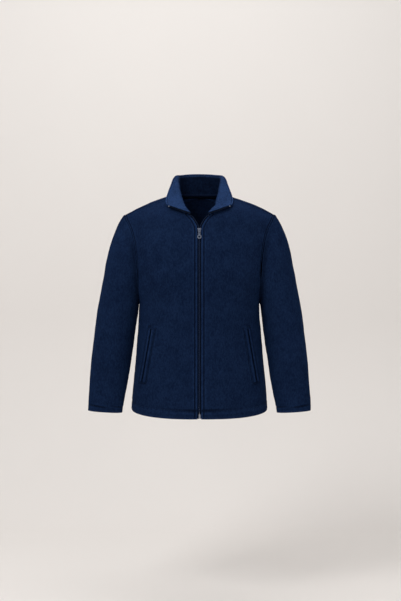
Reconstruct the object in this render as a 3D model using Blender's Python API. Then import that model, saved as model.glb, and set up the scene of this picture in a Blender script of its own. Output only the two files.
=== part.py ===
"""Fleece zip jacket, filled out as if worn, modelled piece by piece.

The frame is in metres with +Z up. The front faces -Y and the wearer's left is +X. The origin
is the middle of the neck at the height of the shoulder points, where the wearer carries it.
Tables are in millimetres and hold the wearer's left half; the right half mirrors it.
"""

import math
from collections import namedtuple

import bmesh
import bpy
from mathutils import Matrix, Vector

MM = 0.001
ACROSS = Vector((1, 0, 0))

# Cloth
FLEECE = 2.6                 # one layer of fleece
HEM_FLEECE = 4.4             # turned-up hem and cuff
HEM_DEPTH = 24.0
HEM_Z = -695.0               # foot of the body
CUFF_Z = -688.0              # foot of the sleeves
SEAM_GAP = 0.3               # between neighbouring pieces

# Zip
ZIP_EDGE = 6.0               # centre line to the fleece edge of a front
TAPE_HIDDEN = 13.0           # tape behind the fleece edge
TAPE_THICK = 0.6
TAPE_RIM = 0.3               # centre line to the rim of a closed tape
TAPE_PARTED = 1.6            # the same where the slider parts the tapes
COIL_WIDTH = 2.5             # one half of the chain
COIL_THICK = 1.5
COIL_PARTING = ((0.4, 1.45), (4.0, 2.85))  # inside the slider: rise above it, distance apart
CHAIN_FOOT_Z = -690.0        # where the chain ends above the bottom box
SLIDER_Z = -122.5
SLIDER_HALF_LENGTH = 5.75
SLIDER_HALF_WIDTHS = (4.2, 4.6, 5.9)      # bottom, middle, top
PLATE_THICK = 1.1
PLATE_CLEAR = 0.35           # between a slider plate and what runs inside
BRIDGE_HALF_LENGTH = 3.0
BRIDGE_HALF_WIDTH = 1.2
BRIDGE_BAR = 0.9
BRIDGE_HEIGHT = 2.0          # free height under the bridge
TAB_THICK = 1.2
TAB_HALF_WIDTH = 3.2
TAB_RING_RADIUS = 6.7
TAB_RING_HOLE = 3.2
TAB_REACH = 22.5             # hinge axis to the middle of the ring
TAB_WINDOW = (1.7, -4.2, -0.7)            # half width, foot and head, for the bridge
TAB_SLOT = (1.2, -12.5, -7.5)
STOP_HALF_WIDTH = 1.7
STOP_LENGTH = 3.4
STOP_CLEAR = 0.4             # past the end of the tape
STOP_LAYERS = (-1.2, 2.3)    # behind and in front of the tape
BOX_ACROSS = (0.5, 4.6)      # bottom box, on the wearer's left tape
BOX_FOOT_Z = -703.5
BOX_LAYERS = (0.3, 2.8)
PIN_ACROSS = (-2.6, -0.2)    # pin, on the right tape
PIN_FOOT_Z = -702.5
PIN_LAYERS = (0.3, 2.2)

# Pockets, on the left front, as (x, z) of the slit's ends
POCKET_TOP = (149.0, -430.0)
POCKET_FOOT = (178.0, -594.0)
LIP_WIDTH = 8.0
LIP_THICK = 2.0
SLIT_WIDTH = 1.6
LIP_LIFT = 0.5               # air between a lip and the front under it

# Neck tape
NECK_TAPE_WIDTH = 10.0
NECK_TAPE_THICK = 0.8
NECK_TAPE_FOOT = 1.0         # above the neck seam

# Panel rows run from the middle (inner) to the side seam or the armhole (outer). lead and dip
# set how far the row leaves its inner end across and in depth, turn_x and turn_y how it meets
# its outer end, as shares of the row's span, and lift raises its middle.
Row = namedtuple("Row", "name inner outer lead dip turn_x turn_y lift")
UNDERARM = 5                 # index of the underarm row in both tables
NECK_CORNER = 12             # index of the row that reaches the neck seam

FRONT_ROWS = (
    Row("hem", (6, -124, -705), (218.0, 0, -684), 0.56, 0, 0, 0.56, -9),
    Row("low hip", (6, -125, -640), (211.5, 0, -620), 0.56, 0, 0, 0.56, -4),
    Row("hip", (6, -124, -560), (204.5, 0, -545), 0.56, 0, 0, 0.56, 0),
    Row("waist", (6, -122, -480), (198.0, 0, -470), 0.56, 0, 0, 0.56, 0),
    Row("ribs", (6, -125, -400), (192.5, 0, -402), 0.56, 0, 0, 0.56, 0),
    Row("underarm", (6, -129, -335), (190.0, 0, -345), 0.56, 0, 0, 0.56, 0),
    Row("low armhole", (6, -130.5, -292), (190.6, -34, -324), 0.55, 0, 0.03, 0.55, 0),
    Row("chest", (6, -131, -252), (192.3, -56, -280), 0.54, 0, 0.07, 0.55, 0),
    Row("high chest", (6, -129.5, -212), (195.0, -66, -227), 0.53, 0, 0.12, 0.55, 0),
    Row("collarbone", (6, -125, -170), (202.0, -62, -170), 0.52, 0, 0.18, 0.55, 0),
    Row("zip opening", (6, -113.5, -121), (210.0, -52, -136), 0.50, 0, 0.24, 0.55, 0),
    Row("open edge", (16, -107, -95), (217.5, -43, -114), 0.48, 0, 0.28, 0.55, 1),
    Row("neck corner", (33, -99, -75), (224.0, -37, -100), 0.45, 0.05, 0.30, 0.55, 2),
    Row("front neck", (55, -84, -57), (230.0, -31, -89.5), 0.42, 0.14, 0.32, 0.50, 4),
    Row("side neck", (73, -57, -34), (234.5, -26.5, -80), 0.38, 0.25, 0.33, 0.42, 5),
    Row("shoulder seam", (83.5, -26, -12.5), (238.0, -22, -73), 0.34, 0.33, 0.33, 0.33, 6),
)

BACK_ROWS = (
    Row("hem", (0, 122, -690), (218.0, 0, -684), 0.56, 0, 0, 0.56, -3),
    Row("low hip", (0, 120, -625), (211.5, 0, -620), 0.56, 0, 0, 0.56, -1),
    Row("hip", (0, 114, -548), (204.5, 0, -545), 0.56, 0, 0, 0.56, 0),
    Row("waist", (0, 109, -472), (198.0, 0, -470), 0.56, 0, 0, 0.56, 0),
    Row("ribs", (0, 112, -402), (192.5, 0, -402), 0.56, 0, 0, 0.56, 0),
    Row("underarm", (0, 118, -340), (190.0, 0, -345), 0.56, 0, 0, 0.56, 0),
    Row("low armhole", (0, 123, -292), (190.6, 36, -324), 0.55, 0, 0.03, 0.55, 0),
    Row("low blade", (0, 126, -240), (193.0, 60, -278), 0.54, 0, 0.07, 0.55, 0),
    Row("blade", (0, 126, -185), (197.5, 72, -223), 0.53, 0, 0.12, 0.55, 0),
    Row("high blade", (0, 121, -130), (205.0, 70, -168), 0.52, 0, 0.17, 0.55, 0),
    Row("yoke", (0, 110, -80), (214.0, 58, -128), 0.50, 0, 0.22, 0.52, 2),
    Row("nape", (0, 95, -38), (222.5, 46, -105), 0.47, 0, 0.26, 0.48, 4),
    Row("back neck", (0, 75, -4), (230.0, 34, -88), 0.44, 0.02, 0.29, 0.44, 6),
    Row("near nape", (34, 72, -4.5), (235.5, 22, -77), 0.40, 0.12, 0.31, 0.40, 6),
    Row("round neck", (62, 58, -4), (240.0, 10, -70), 0.38, 0.24, 0.32, 0.36, 7),
    Row("behind shoulder", (80, 32, -2), (242.3, -1, -67.5), 0.36, 0.31, 0.33, 0.34, 7),
    Row("shoulder", (86, 4, -3), (242.0, -12, -69), 0.35, 0.33, 0.33, 0.33, 7),
    Row("shoulder seam", (83.5, -26, -12.5), (238.0, -22, -73), 0.34, 0.33, 0.33, 0.33, 6),
)

# Sleeve rings, as (x, z) of their outer and inner points. follow is how much of the armhole's
# own shape a ring keeps.
Ring = namedtuple("Ring", "name outer inner mid_y half_depth follow")
SLEEVE_RINGS = (
    Ring("armhole", (242.3, -67.5), (190.0, -345), 0, 68, 1.0),
    Ring("cap 1", (250, -79), (192.8, -347.5), 0, 69, 0.86),
    Ring("cap 2", (260.5, -99), (194.8, -352), 0, 69.5, 0.62),
    Ring("cap 3", (273.5, -130), (196.0, -359), 1, 70, 0.38),
    Ring("cap 4", (287, -172), (197.5, -370), 1, 69, 0.18),
    Ring("upper arm", (299, -222), (199.5, -387), 2, 67, 0.06),
    Ring("mid arm", (309, -272), (202.8, -411), 2, 65, 0),
    Ring("above elbow", (321.5, -345), (208.5, -457), 0, 61, 0),
    Ring("elbow", (333, -424), (215.5, -509), -5, 57, 0),
    Ring("forearm", (342, -510), (223.5, -566), -14, 50, 0),
    Ring("low forearm", (348, -590), (232.5, -623), -25, 41, 0),
    Ring("above cuff", (351, -652), (240.5, -669), -34, 33, 0),
    Ring("cuff", (352, -687), (244.5, -694), -38, 29, 0),
)

# Collar stations from the zip to the centre back: the fold line and the top edge of the outer
# face. The base is the neck seam of the panels.
Station = namedtuple("Station", "name crest top")
COLLAR_STATIONS = (
    Station("zip end", (31, -104, -70), (91, -80, -48)),
    Station("front", (42, -88, -54.5), (103, -66, -41)),
    Station("side front", (53, -64, -30), (105.5, -46, -29)),
    Station("shoulder seam", (61.5, -37, -2), (103, -27, -13)),
    Station("shoulder", (66.5, -10, 24), (94.5, -9, 17)),
    Station("behind shoulder", (71, 18, 51), (85, 8, 51)),
    Station("side back", (68.5, 49, 59), (69, 48, 67)),
    Station("near back", (38, 80.5, 65.5), (38, 82, 73.5)),
    Station("centre back", (0, 86.5, 67.5), (0, 88, 75.5)),
)
FRONT_STATIONS = 3           # stations from the zip end to the shoulder seam
CREST_ROUND = 4.0            # reach of the fold's rounding
CREST_SPREAD = 2.2           # half the air inside the fold
LEAF_SHARE = 0.55

# Soft folds as ridges (height > 0) and troughs (height < 0), each along a line of (x, z) on the
# front (side -1) or the back (side 1).
Fold = namedtuple("Fold", "name side start end width height")
FOLDS = (
    Fold("right front drag", -1, (-112, -258), (-168, -390), 17, 4.0),
    Fold("left front drag", -1, (134, -316), (162, -384), 16, 2.6),
    Fold("right sleeve trough", -1, (-238, -112), (-202, -262), 13, -5.0),
    Fold("right sleeve ridge", -1, (-254, -140), (-206, -300), 16, 3.5),
    Fold("left sleeve trough", -1, (224, -130), (196, -262), 11, -4.0),
    Fold("left sleeve bend", -1, (330, -420), (250, -470), 20, -3.0),
    Fold("right sleeve bend", -1, (-336, -440), (-262, -480), 22, -2.5),
    Fold("right blade drag", 1, (-150, -230), (-192, -330), 18, 3.5),
    Fold("left blade drag", 1, (142, -250), (190, -345), 18, 3.0),
    Fold("back waist trough", 1, (-70, -452), (96, -470), 26, -3.0),
)

# Facets of the solids
PANEL_COLUMNS = 9
SIDE_STEPS = 7
NECK_STEPS_PER_ROW = 2

NAVY = (0.0052, 0.0110, 0.0310)
NAVY_INSIDE = (0.0042, 0.0085, 0.0240)
TAPE_NAVY = (0.0040, 0.0070, 0.0180)
COIL_NAVY = (0.020, 0.032, 0.062)
SILVER = (0.42, 0.44, 0.47)


# --- Curves -------------------------------------------------------------------------------

def gentle_slope(before, after):
    """Slope at a knot that never overshoots its neighbours."""
    if before * after <= 0:
        return 0.0
    return 2 * before * after / (before + after)


def through(knots, place):
    """Smooth value at place along a list of numbers, one knot per unit."""
    last = len(knots) - 1
    index = min(max(int(place), 0), last - 1)
    part = place - index
    step = knots[index + 1] - knots[index]
    before = knots[index] - knots[index - 1] if index > 0 else step
    after = knots[index + 2] - knots[index + 1] if index + 2 <= last else step
    leave = gentle_slope(before, step) if index > 0 else step
    meet = gentle_slope(step, after) if index + 2 <= last else step
    rest = 1 - part
    value = knots[index] * rest * rest * (1 + 2 * part)
    value += knots[index + 1] * part * part * (3 - 2 * part)
    value += leave * part * rest * rest
    value -= meet * part * part * rest
    return value


def point_through(points, place):
    """Smooth point at place along a list of points."""
    return Vector([through([point[axis] for point in points], place) for axis in range(3)])


def bezier(start, leave, meet, end, part):
    rest = 1 - part
    return (
        start * rest ** 3
        + leave * 3 * part * rest ** 2
        + meet * 3 * part ** 2 * rest
        + end * part ** 3
    )


def steps(start, end, count):
    return [start + (end - start) * k / count for k in range(count + 1)]


# --- The garment's outer surface, left half --------------------------------------------------

def row_end(rows, place):
    """Outer end of a row: one curve up the side seam, another round the armhole."""
    ends = [row.outer for row in rows]
    if place <= UNDERARM:
        return point_through(ends[: UNDERARM + 1], place)
    return point_through(ends[UNDERARM:], place - UNDERARM)


def row_start(rows, place):
    return point_through([row.inner for row in rows], place)


def panel_point(rows, place, across):
    """Point of a front or back: place counts rows, across runs 0 to 1 to the outer end."""
    start = row_start(rows, place)
    end = row_end(rows, place)
    lead, dip, turn_x, turn_y, lift = (
        through([getattr(row, field) for row in rows], place)
        for field in ("lead", "dip", "turn_x", "turn_y", "lift")
    )
    span = end - start
    leave = start + Vector((lead * span.x, dip * span.y, span.z / 3 + lift))
    meet = end - Vector((turn_x * span.x, turn_y * span.y, span.z / 3 - lift))
    return bezier(start, leave, meet, end, across)


def ring_shape(place):
    """Middle, half axis to the outer point, and half depth of a sleeve ring."""
    columns = [
        [ring.outer[0] for ring in SLEEVE_RINGS],
        [ring.outer[1] for ring in SLEEVE_RINGS],
        [ring.inner[0] for ring in SLEEVE_RINGS],
        [ring.inner[1] for ring in SLEEVE_RINGS],
        [ring.mid_y for ring in SLEEVE_RINGS],
        [ring.half_depth for ring in SLEEVE_RINGS],
        [ring.follow for ring in SLEEVE_RINGS],
    ]
    values = [through(column, place) for column in columns]
    outer = Vector((values[0], values[4], values[1]))
    inner = Vector((values[2], values[4], values[3]))
    return (outer + inner) / 2, (outer - inner) / 2, values[5], values[6]


def sleeve_point(place, armhole):
    """Point of the sleeve below one point of the armhole."""
    middle, axis, depth, _ = ring_shape(0)
    offset = armhole - middle
    angle = math.atan2(-offset.y / depth, offset.dot(axis) / axis.length_squared)
    plain = middle + axis * math.cos(angle) - Vector((0, depth * math.sin(angle), 0))
    own = armhole - plain
    middle, axis, depth, follow = ring_shape(place)
    return middle + axis * math.cos(angle) - Vector((0, depth * math.sin(angle), 0)) + own * follow


def neck_seam(place):
    """Neck seam at a collar station: along the front, then along the back."""
    if place <= FRONT_STATIONS:
        return row_start(FRONT_ROWS, NECK_CORNER + place)
    last = len(BACK_ROWS) - 1
    return row_start(BACK_ROWS, last - (place - FRONT_STATIONS))


def collar_profile(place):
    """Seven points of the collar's outer face, from the neck seam over the fold to the edge."""
    base = neck_seam(place)
    crest = point_through([station.crest for station in COLLAR_STATIONS], place)
    top = point_through([station.top for station in COLLAR_STATIONS], place)
    rise = crest - base
    fall = top - crest
    reach = min(CREST_ROUND, 0.35 * rise.length, 0.35 * fall.length)
    folded = (rise.normalized() - fall.normalized()) / 2
    spread = top - base
    if folded.length > 0.01:
        towards = folded.normalized()
        spread = spread - towards * spread.dot(towards)
    spread = spread.normalized() * CREST_SPREAD * folded.length * min(1, reach / CREST_ROUND)
    return [
        base,
        base + rise * min(0.4, NECK_TAPE_WIDTH / rise.length),
        crest - rise.normalized() * reach - spread,
        crest,
        crest + fall.normalized() * reach + spread,
        crest + fall * LEAF_SHARE,
        top,
    ]


def mirrored(point):
    return Vector((-point.x, point.y, point.z))


def fold_height(point, normal):
    """How far the soft folds move a point of the cloth along its normal."""
    total = 0.0
    for fold in FOLDS:
        if normal.y * fold.side < 0.15:
            continue
        start = Vector(fold.start)
        along = Vector(fold.end) - start
        spot = Vector((point.x, point.z)) - start
        share = min(max(spot.dot(along) / along.length_squared, 0), 1)
        away = (spot - along * share).length / fold.width
        swell = math.sin(math.pi * (0.15 + 0.7 * share))
        total += fold.height * swell * math.exp(-away * away)
    return total


# --- Skins: sheets of facets that share the points of their seams ----------------------------

def split_quad(quad, points):
    """Two triangles across the shorter diagonal."""
    a, b, c, d = quad
    if (points[a] - points[c]).length <= (points[b] - points[d]).length:
        return [[a, b, c], [a, c, d]]
    return [[a, b, d], [b, c, d]]


class Cloth:
    """The outer faces of all fleece pieces, welded at the seams."""

    def __init__(self):
        self.points = []
        self.normals = []
        self.skins = {}
        self._lookup = {}

    def vertex(self, point):
        key = tuple(round(value, 3) for value in point)
        if key not in self._lookup:
            self._lookup[key] = len(self.points)
            self.points.append(Vector(point))
        return self._lookup[key]

    def add(self, name, grids):
        """Add a piece from grids of points, each with a flag that turns its faces over."""
        faces = []
        for grid, turned in grids:
            index = [[self.vertex(point) for point in row] for row in grid]
            for lower, upper in zip(index, index[1:]):
                for k in range(len(lower) - 1):
                    quad = [lower[k], lower[k + 1], upper[k + 1], upper[k]]
                    if turned:
                        quad.reverse()
                    faces += split_quad(quad, self.points)
        self.skins[name] = faces

    def face_normal(self, face):
        first, second, third = (self.points[v] for v in face)
        return (second - first).cross(third - first)

    def measure_normals(self):
        self.normals = [Vector((0, 0, 0)) for _ in self.points]
        for faces in self.skins.values():
            for face in faces:
                normal = self.face_normal(face)
                for v in face:
                    self.normals[v] += normal
        self.normals = [normal.normalized() for normal in self.normals]

    def settle(self):
        """Let the soft folds form, then measure the normals again."""
        self.measure_normals()
        for v, point in enumerate(self.points):
            point += self.normals[v] * fold_height(point, self.normals[v])
        self.measure_normals()

    def borders(self, name):
        """Directed border edges of a piece."""
        edges = {
            (a, b) for face in self.skins[name] for a, b in zip(face, face[1:] + face[:1])
        }
        return [(a, b) for a, b in edges if (b, a) not in edges]

    def seam_insets(self, name):
        """Step back from each seam, in the cloth's own surface."""
        others = set()
        for other in self.skins:
            if other != name:
                others.update(frozenset(edge) for edge in self.borders(other))
        insets = {}
        for a, b in sorted(self.borders(name)):
            if frozenset((a, b)) not in others:
                continue
            for v in (a, b):
                along = self.points[b] - self.points[a]
                inward = self.normals[v].cross(along).normalized()
                insets.setdefault(v, []).append(inward)
        return {v: mitre(directions) * SEAM_GAP / 2 for v, directions in insets.items()}


def zip_depth(z):
    """From the front's outer face to the tape, deeper where the hem is turned up."""
    foot = row_start(FRONT_ROWS, 0).z
    above = row_start(FRONT_ROWS, UNDERARM / SIDE_STEPS).z
    share = min(max((above - z) / (above - foot), 0), 1)
    return FLEECE + (HEM_FLEECE - FLEECE) * share + SEAM_GAP


def mitre(directions):
    """Offset that lies one unit inside each of one or two borders."""
    total = sum(directions, Vector((0, 0, 0)))
    if len(directions) == 1:
        return total
    return total / max(1 + directions[0].dot(directions[1]), 0.4)


def layer_depth(point):
    """Depth of the cloth at a point: hems and cuffs are turned up."""
    on_sleeve = abs(point.x) > row_end(FRONT_ROWS, 0).x + HEM_FLEECE
    edge = CUFF_Z if on_sleeve else HEM_Z
    return HEM_FLEECE if point.z < edge + HEM_DEPTH else FLEECE


def border_wall(a, b, count):
    """Two triangles from a border edge to the inner side, split alike on both sides of a seam."""
    if b < a:
        return [[b, a, a + count], [b, a + count, b + count]]
    return [[b, a, b + count], [a, a + count, b + count]]


def shell(name, faces, outer, inner, material):
    """Closed sheet of triangles between an outer and an inner position of each corner."""
    mesh = bpy.data.meshes.new(name)
    corners = sorted(outer)
    order = {v: n for n, v in enumerate(corners)}
    count = len(corners)
    points = [outer[v] * MM for v in corners] + [inner[v] * MM for v in corners]
    solid_faces = [[order[v] for v in face] for face in faces]
    solid_faces += [[order[v] + count for v in reversed(face)] for face in faces]
    edges = {(a, b) for face in faces for a, b in zip(face, face[1:] + face[:1])}
    for a, b in sorted(edges):
        if (b, a) not in edges:
            solid_faces += border_wall(order[a], order[b], count)
    mesh.from_pydata(points, [], solid_faces)
    return finish_mesh(name, mesh, material)


def finish_mesh(name, mesh, material):
    mesh.materials.append(material)
    mesh.validate()
    mesh.shade_smooth()
    mesh.set_sharp_from_angle(angle=math.radians(35))
    item = bpy.data.objects.new(name, mesh)
    bpy.context.scene.collection.objects.link(item)
    return item


def cloth_layer(cloth, piece, name, material, start=0.0, depth=None):
    """One layer of a piece, from start to start + depth behind its outer face."""
    insets = cloth.seam_insets(piece)
    faces = cloth.skins[piece]
    corners = sorted({v for face in faces for v in face})
    outer, inner = {}, {}
    for v in corners:
        place = cloth.points[v] + insets.get(v, Vector((0, 0, 0)))
        thick = layer_depth(place) if depth is None else depth
        outer[v] = place - cloth.normals[v] * start
        inner[v] = place - cloth.normals[v] * (start + thick)
    return shell(name, faces, outer, inner, material)


# --- Panels, sleeves and collar ---------------------------------------------------------------

def row_places(rows):
    """Rows of facets: even up the side seam, one a row round the armhole, more at the neck."""
    last = len(rows) - 1
    places = steps(0, UNDERARM, SIDE_STEPS)
    places += [float(row) for row in range(UNDERARM + 1, NECK_CORNER + 1)]
    neck_rows = last - NECK_CORNER
    return places + steps(NECK_CORNER, last, neck_rows * NECK_STEPS_PER_ROW)[1:]


def panel_grid(rows, places):
    across = steps(0, 1, PANEL_COLUMNS)
    return [[panel_point(rows, place, share) for share in across] for place in places]


def flip_side(grid):
    return [[mirrored(point) for point in row] for row in grid]


def sleeve_grid():
    front = [row_end(FRONT_ROWS, place) for place in row_places(FRONT_ROWS) if place >= UNDERARM]
    back = [row_end(BACK_ROWS, place) for place in row_places(BACK_ROWS) if place >= UNDERARM]
    loop = front + back[-2::-1]
    rings = [loop]
    for place in range(1, len(SLEEVE_RINGS)):
        rings.append([sleeve_point(place, point) for point in loop])
    return rings


def collar_grid():
    last = len(COLLAR_STATIONS) - 1
    profiles = [collar_profile(place) for place in steps(0, last, last * NECK_STEPS_PER_ROW)]
    return [list(row) for row in zip(*profiles)]


def lay_out_cloth():
    cloth = Cloth()
    front = panel_grid(FRONT_ROWS, row_places(FRONT_ROWS))
    cloth.add("front_left", [(front, False)])
    cloth.add("front_right", [(flip_side(front), True)])
    places = row_places(BACK_ROWS)
    back = panel_grid(BACK_ROWS, places)
    cloth.add("back", [(back, True), (flip_side(back), False)])
    sleeve = sleeve_grid()
    cloth.add("sleeve_left", [(sleeve, True)])
    cloth.add("sleeve_right", [(flip_side(sleeve), False)])
    collar = collar_grid()
    cloth.add("collar", [(collar, False), (flip_side(collar), True)])
    cloth.settle()
    return cloth, front, collar


def neck_tape(cloth, collar, material):
    """Tape over the back neck seam, made from the foot of the collar, moved inward."""
    depth = 2 * FLEECE + 2 * SEAM_GAP
    first = FRONT_STATIONS * NECK_STEPS_PER_ROW + 1
    half = list(range(first, len(collar[0])))
    stations = [(k, False) for k in half] + [(k, True) for k in reversed(half[:-1])]
    outer, inner, faces = {}, {}, []
    for n, (k, flip) in enumerate(stations):
        foot, band = (
            cloth.vertex(mirrored(row[k]) if flip else row[k]) for row in collar[:2]
        )
        rise = cloth.points[band] - cloth.points[foot]
        for level, height in enumerate((NECK_TAPE_FOOT, NECK_TAPE_WIDTH)):
            share = height / rise.length
            place = cloth.points[foot] + rise * share
            normal = cloth.normals[foot].lerp(cloth.normals[band], share).normalized()
            outer[2 * n + level] = place - normal * depth
            inner[2 * n + level] = place - normal * (depth + NECK_TAPE_THICK)
        if n:
            faces += split_quad([2 * n - 2, 2 * n, 2 * n + 1, 2 * n - 1], outer)
    return shell("neck_tape", faces, outer, inner, material)


# --- Pockets ---------------------------------------------------------------------------------

def front_at(x, z):
    """Point and outward normal of the left front at a width and a height."""
    low, high = 0.0, float(NECK_CORNER)
    across = 0.5
    for _ in range(30):
        place = (low + high) / 2
        left, right = 0.0, 1.0
        for _ in range(24):
            across = (left + right) / 2
            if panel_point(FRONT_ROWS, place, across).x < x:
                left = across
            else:
                right = across
        if panel_point(FRONT_ROWS, place, across).z < z:
            low = place
        else:
            high = place
    spot = panel_point(FRONT_ROWS, place, across)
    sideways = panel_point(FRONT_ROWS, place, across + 0.01) - spot
    upward = panel_point(FRONT_ROWS, place + 0.01, across) - spot
    return spot, sideways.cross(upward).normalized()


def pocket_lip(name, near, far, flip, material):
    """Lip of a pocket between two distances from the slit's line, near and far."""
    top = Vector(POCKET_TOP)
    foot = Vector(POCKET_FOOT)
    line = foot - top
    side = Vector((-line.y, line.x)).normalized()
    outer, inner, faces = {}, {}, []
    lengths = steps(0, 1, 8)
    for n, share in enumerate(lengths):
        for level, away in enumerate((near, far)):
            spot = top + line * share + side * away
            place, normal = front_at(spot.x, spot.y)
            bulge = fold_height(mirrored(place) if flip else place, Vector((0, -1, 0)))
            place = place + normal * (LIP_LIFT + max(bulge, 0))
            raised = place + normal * LIP_THICK
            key = 2 * n + level
            outer[key] = mirrored(raised) if flip else raised
            inner[key] = mirrored(place) if flip else place
        if n:
            faces += split_quad([2 * n - 2, 2 * n - 1, 2 * n + 1, 2 * n], outer)
    if (far > near) != flip:
        faces = [face[::-1] for face in faces]
    return shell(name, faces, outer, inner, material)


# --- Zip -------------------------------------------------------------------------------------

class ZipLine:
    """Centre line of the closed zip, on the outer face of its tapes."""

    def slope(self, place):
        step = 0.02
        ahead = row_start(FRONT_ROWS, place + step) - row_start(FRONT_ROWS, place - step)
        ahead.x = 0
        return ahead.normalized()

    def place_at(self, z):
        low, high = 0.0, float(NECK_CORNER)
        for _ in range(40):
            middle = (low + high) / 2
            if row_start(FRONT_ROWS, middle).z < z:
                low = middle
            else:
                high = middle
        return middle

    def at(self, z):
        """Point, upward direction and outward normal of the zip at a height."""
        place = self.place_at(z)
        up = self.slope(place)
        normal = Vector((0, -up.z, up.y))
        point = row_start(FRONT_ROWS, place)
        point.x = 0
        return point - normal * zip_depth(z), up, normal


def bar(name, sections, material):
    """Closed bar through four-cornered sections."""
    mesh = bpy.data.meshes.new(name)
    points = [corner * MM for section in sections for corner in section]
    faces = [[3, 2, 1, 0]]
    for n in range(len(sections) - 1):
        low = 4 * n
        for k in range(4):
            after = (k + 1) % 4
            faces.append([low + k, low + after, low + 4 + after, low + 4 + k])
    last = 4 * (len(sections) - 1)
    faces.append([last, last + 1, last + 2, last + 3])
    mesh.from_pydata(points, [], faces)
    work = bmesh.new()
    work.from_mesh(mesh)
    bmesh.ops.recalc_face_normals(work, faces=work.faces)
    work.to_mesh(mesh)
    work.free()
    return finish_mesh(name, mesh, material)


def section(point, across, normal, half_width, low, high):
    return [
        point - across * half_width + normal * low,
        point + across * half_width + normal * low,
        point + across * half_width + normal * high,
        point - across * half_width + normal * high,
    ]


def open_edge(cloth, front, collar):
    """Open zip edge from the slider to the collar's corner, with its outward direction.

    Each entry holds the point on the tape's outer face at the fleece edge, the direction away
    from the fleece and the cloth's normal.
    """
    places = row_places(FRONT_ROWS)
    first = places.index(float(NECK_CORNER) - 1)
    corner = places.index(float(NECK_CORNER))
    ids = [cloth.vertex(front[k][0]) for k in range(first, corner)]
    ids += [cloth.vertex(row[0]) for row in collar]
    entries = []
    for n, v in enumerate(ids):
        before = cloth.points[ids[max(n - 1, 0)]]
        after = cloth.points[ids[min(n + 1, len(ids) - 1)]]
        normal = cloth.normals[v]
        away = normal.cross(after - before).normalized()
        entries.append((cloth.points[v] - normal * (FLEECE + SEAM_GAP / 2), away, normal))
    return entries


def zip_tape(name, cloth, front, edge, flip, material):
    """Tape behind the front's edge and along the open edge of the collar."""
    places = row_places(FRONT_ROWS)
    split = places.index(float(NECK_CORNER) - 2)
    outer, inner, faces = {}, {}, []
    hidden_share = TAPE_HIDDEN / (front[0][1].x - front[0][0].x)
    for k in range(split + 1):
        v = cloth.vertex(front[k][0])
        w = cloth.vertex(front[k][1])
        normal = cloth.normals[v]
        depth = zip_depth(cloth.points[v].z)
        start = cloth.points[v] - normal * depth
        middle_x = TAPE_RIM if k < split else TAPE_PARTED
        rim = Vector((middle_x, start.y, start.z))
        along = cloth.points[w] - cloth.points[v]
        far_normal = normal.lerp(cloth.normals[w], hidden_share).normalized()
        far = cloth.points[v] + along * hidden_share - far_normal * depth
        for level, place in enumerate((rim, start, far)):
            outer[3 * k + level] = place
            inner[3 * k + level] = place - (far_normal if level == 2 else normal) * TAPE_THICK
        if k:
            low = 3 * k - 3
            faces += split_quad([low, low + 1, low + 4, low + 3], outer)
            faces += split_quad([low + 1, low + 2, low + 5, low + 4], outer)
    base = 3 * (split + 1)
    previous = (3 * split, 3 * split + 1)
    for n, (point, away, normal) in enumerate(edge):
        near = point + away * SEAM_GAP
        rim = point + away * (ZIP_EDGE - TAPE_RIM)
        for level, place in enumerate((rim, near)):
            outer[base + 2 * n + level] = place + normal * TAPE_THICK / 2
            inner[base + 2 * n + level] = place - normal * TAPE_THICK / 2
        faces += split_quad([*previous, base + 2 * n + 1, base + 2 * n], outer)
        previous = (base + 2 * n, base + 2 * n + 1)
    if flip:
        outer = {v: mirrored(point) for v, point in outer.items()}
        inner = {v: mirrored(point) for v, point in inner.items()}
        faces = [face[::-1] for face in faces]
    return shell(name, faces, outer, inner, material)


def zip_chain(line, front, material):
    """The two halves of the coil, closed, from the bottom box to the slider."""
    heights = [row[0].z for row in front if CHAIN_FOOT_Z + 5 < row[0].z < SLIDER_Z - 5]
    sections = []
    for z in [CHAIN_FOOT_Z] + heights + [SLIDER_Z]:
        point, _, normal = line.at(z)
        low = SEAM_GAP
        sections.append(section(point, ACROSS, normal, COIL_WIDTH, low, low + COIL_THICK))
    return bar("zip_chain", sections, material)


def open_coil(name, line, edge, flip, material):
    """Half of the coil along the open edge, from inside the slider to the top stop."""
    sections = []
    half = COIL_WIDTH / 2
    low = SEAM_GAP
    for rise, centre in COIL_PARTING:
        point, _, normal = line.at(SLIDER_Z + rise)
        point.x = centre
        sections.append(section(point, ACROSS, normal, half, low, low + COIL_THICK))
    low = TAPE_THICK / 2 + SEAM_GAP
    for point, away, normal in edge:
        middle = point + away * (ZIP_EDGE - half + SEAM_GAP)
        sections.append(section(middle, -away, normal, half, low, low + COIL_THICK))
    if flip:
        sections = [[mirrored(corner) for corner in corners] for corners in sections]
    return bar(name, sections, material)


def top_stop(name, edge, flip, material):
    """Metal stop clamped over the end of the tape's rim."""
    point, away, normal = edge[-1]
    before = edge[-2][0]
    along = (point - before).normalized()
    middle = point + away * (ZIP_EDGE - COIL_WIDTH / 2 - SEAM_GAP) + along * STOP_CLEAR
    sections = [
        section(middle + along * step, -away, normal, STOP_HALF_WIDTH, *STOP_LAYERS)
        for step in (0, STOP_LENGTH)
    ]
    if flip:
        sections = [[mirrored(corner) for corner in corners] for corners in sections]
    return bar(name, sections, material)


def block(name, line, x_range, foot_z, n_range, material):
    """Upright block on the tapes, up to the foot of the chain."""
    sections = []
    for z in (foot_z, CHAIN_FOOT_Z - SEAM_GAP):
        point, _, normal = line.at(z)
        point.x = sum(x_range) / 2
        half = (x_range[1] - x_range[0]) / 2
        sections.append(section(point, ACROSS, normal, half, *n_range))
    return bar(name, sections, material)


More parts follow.
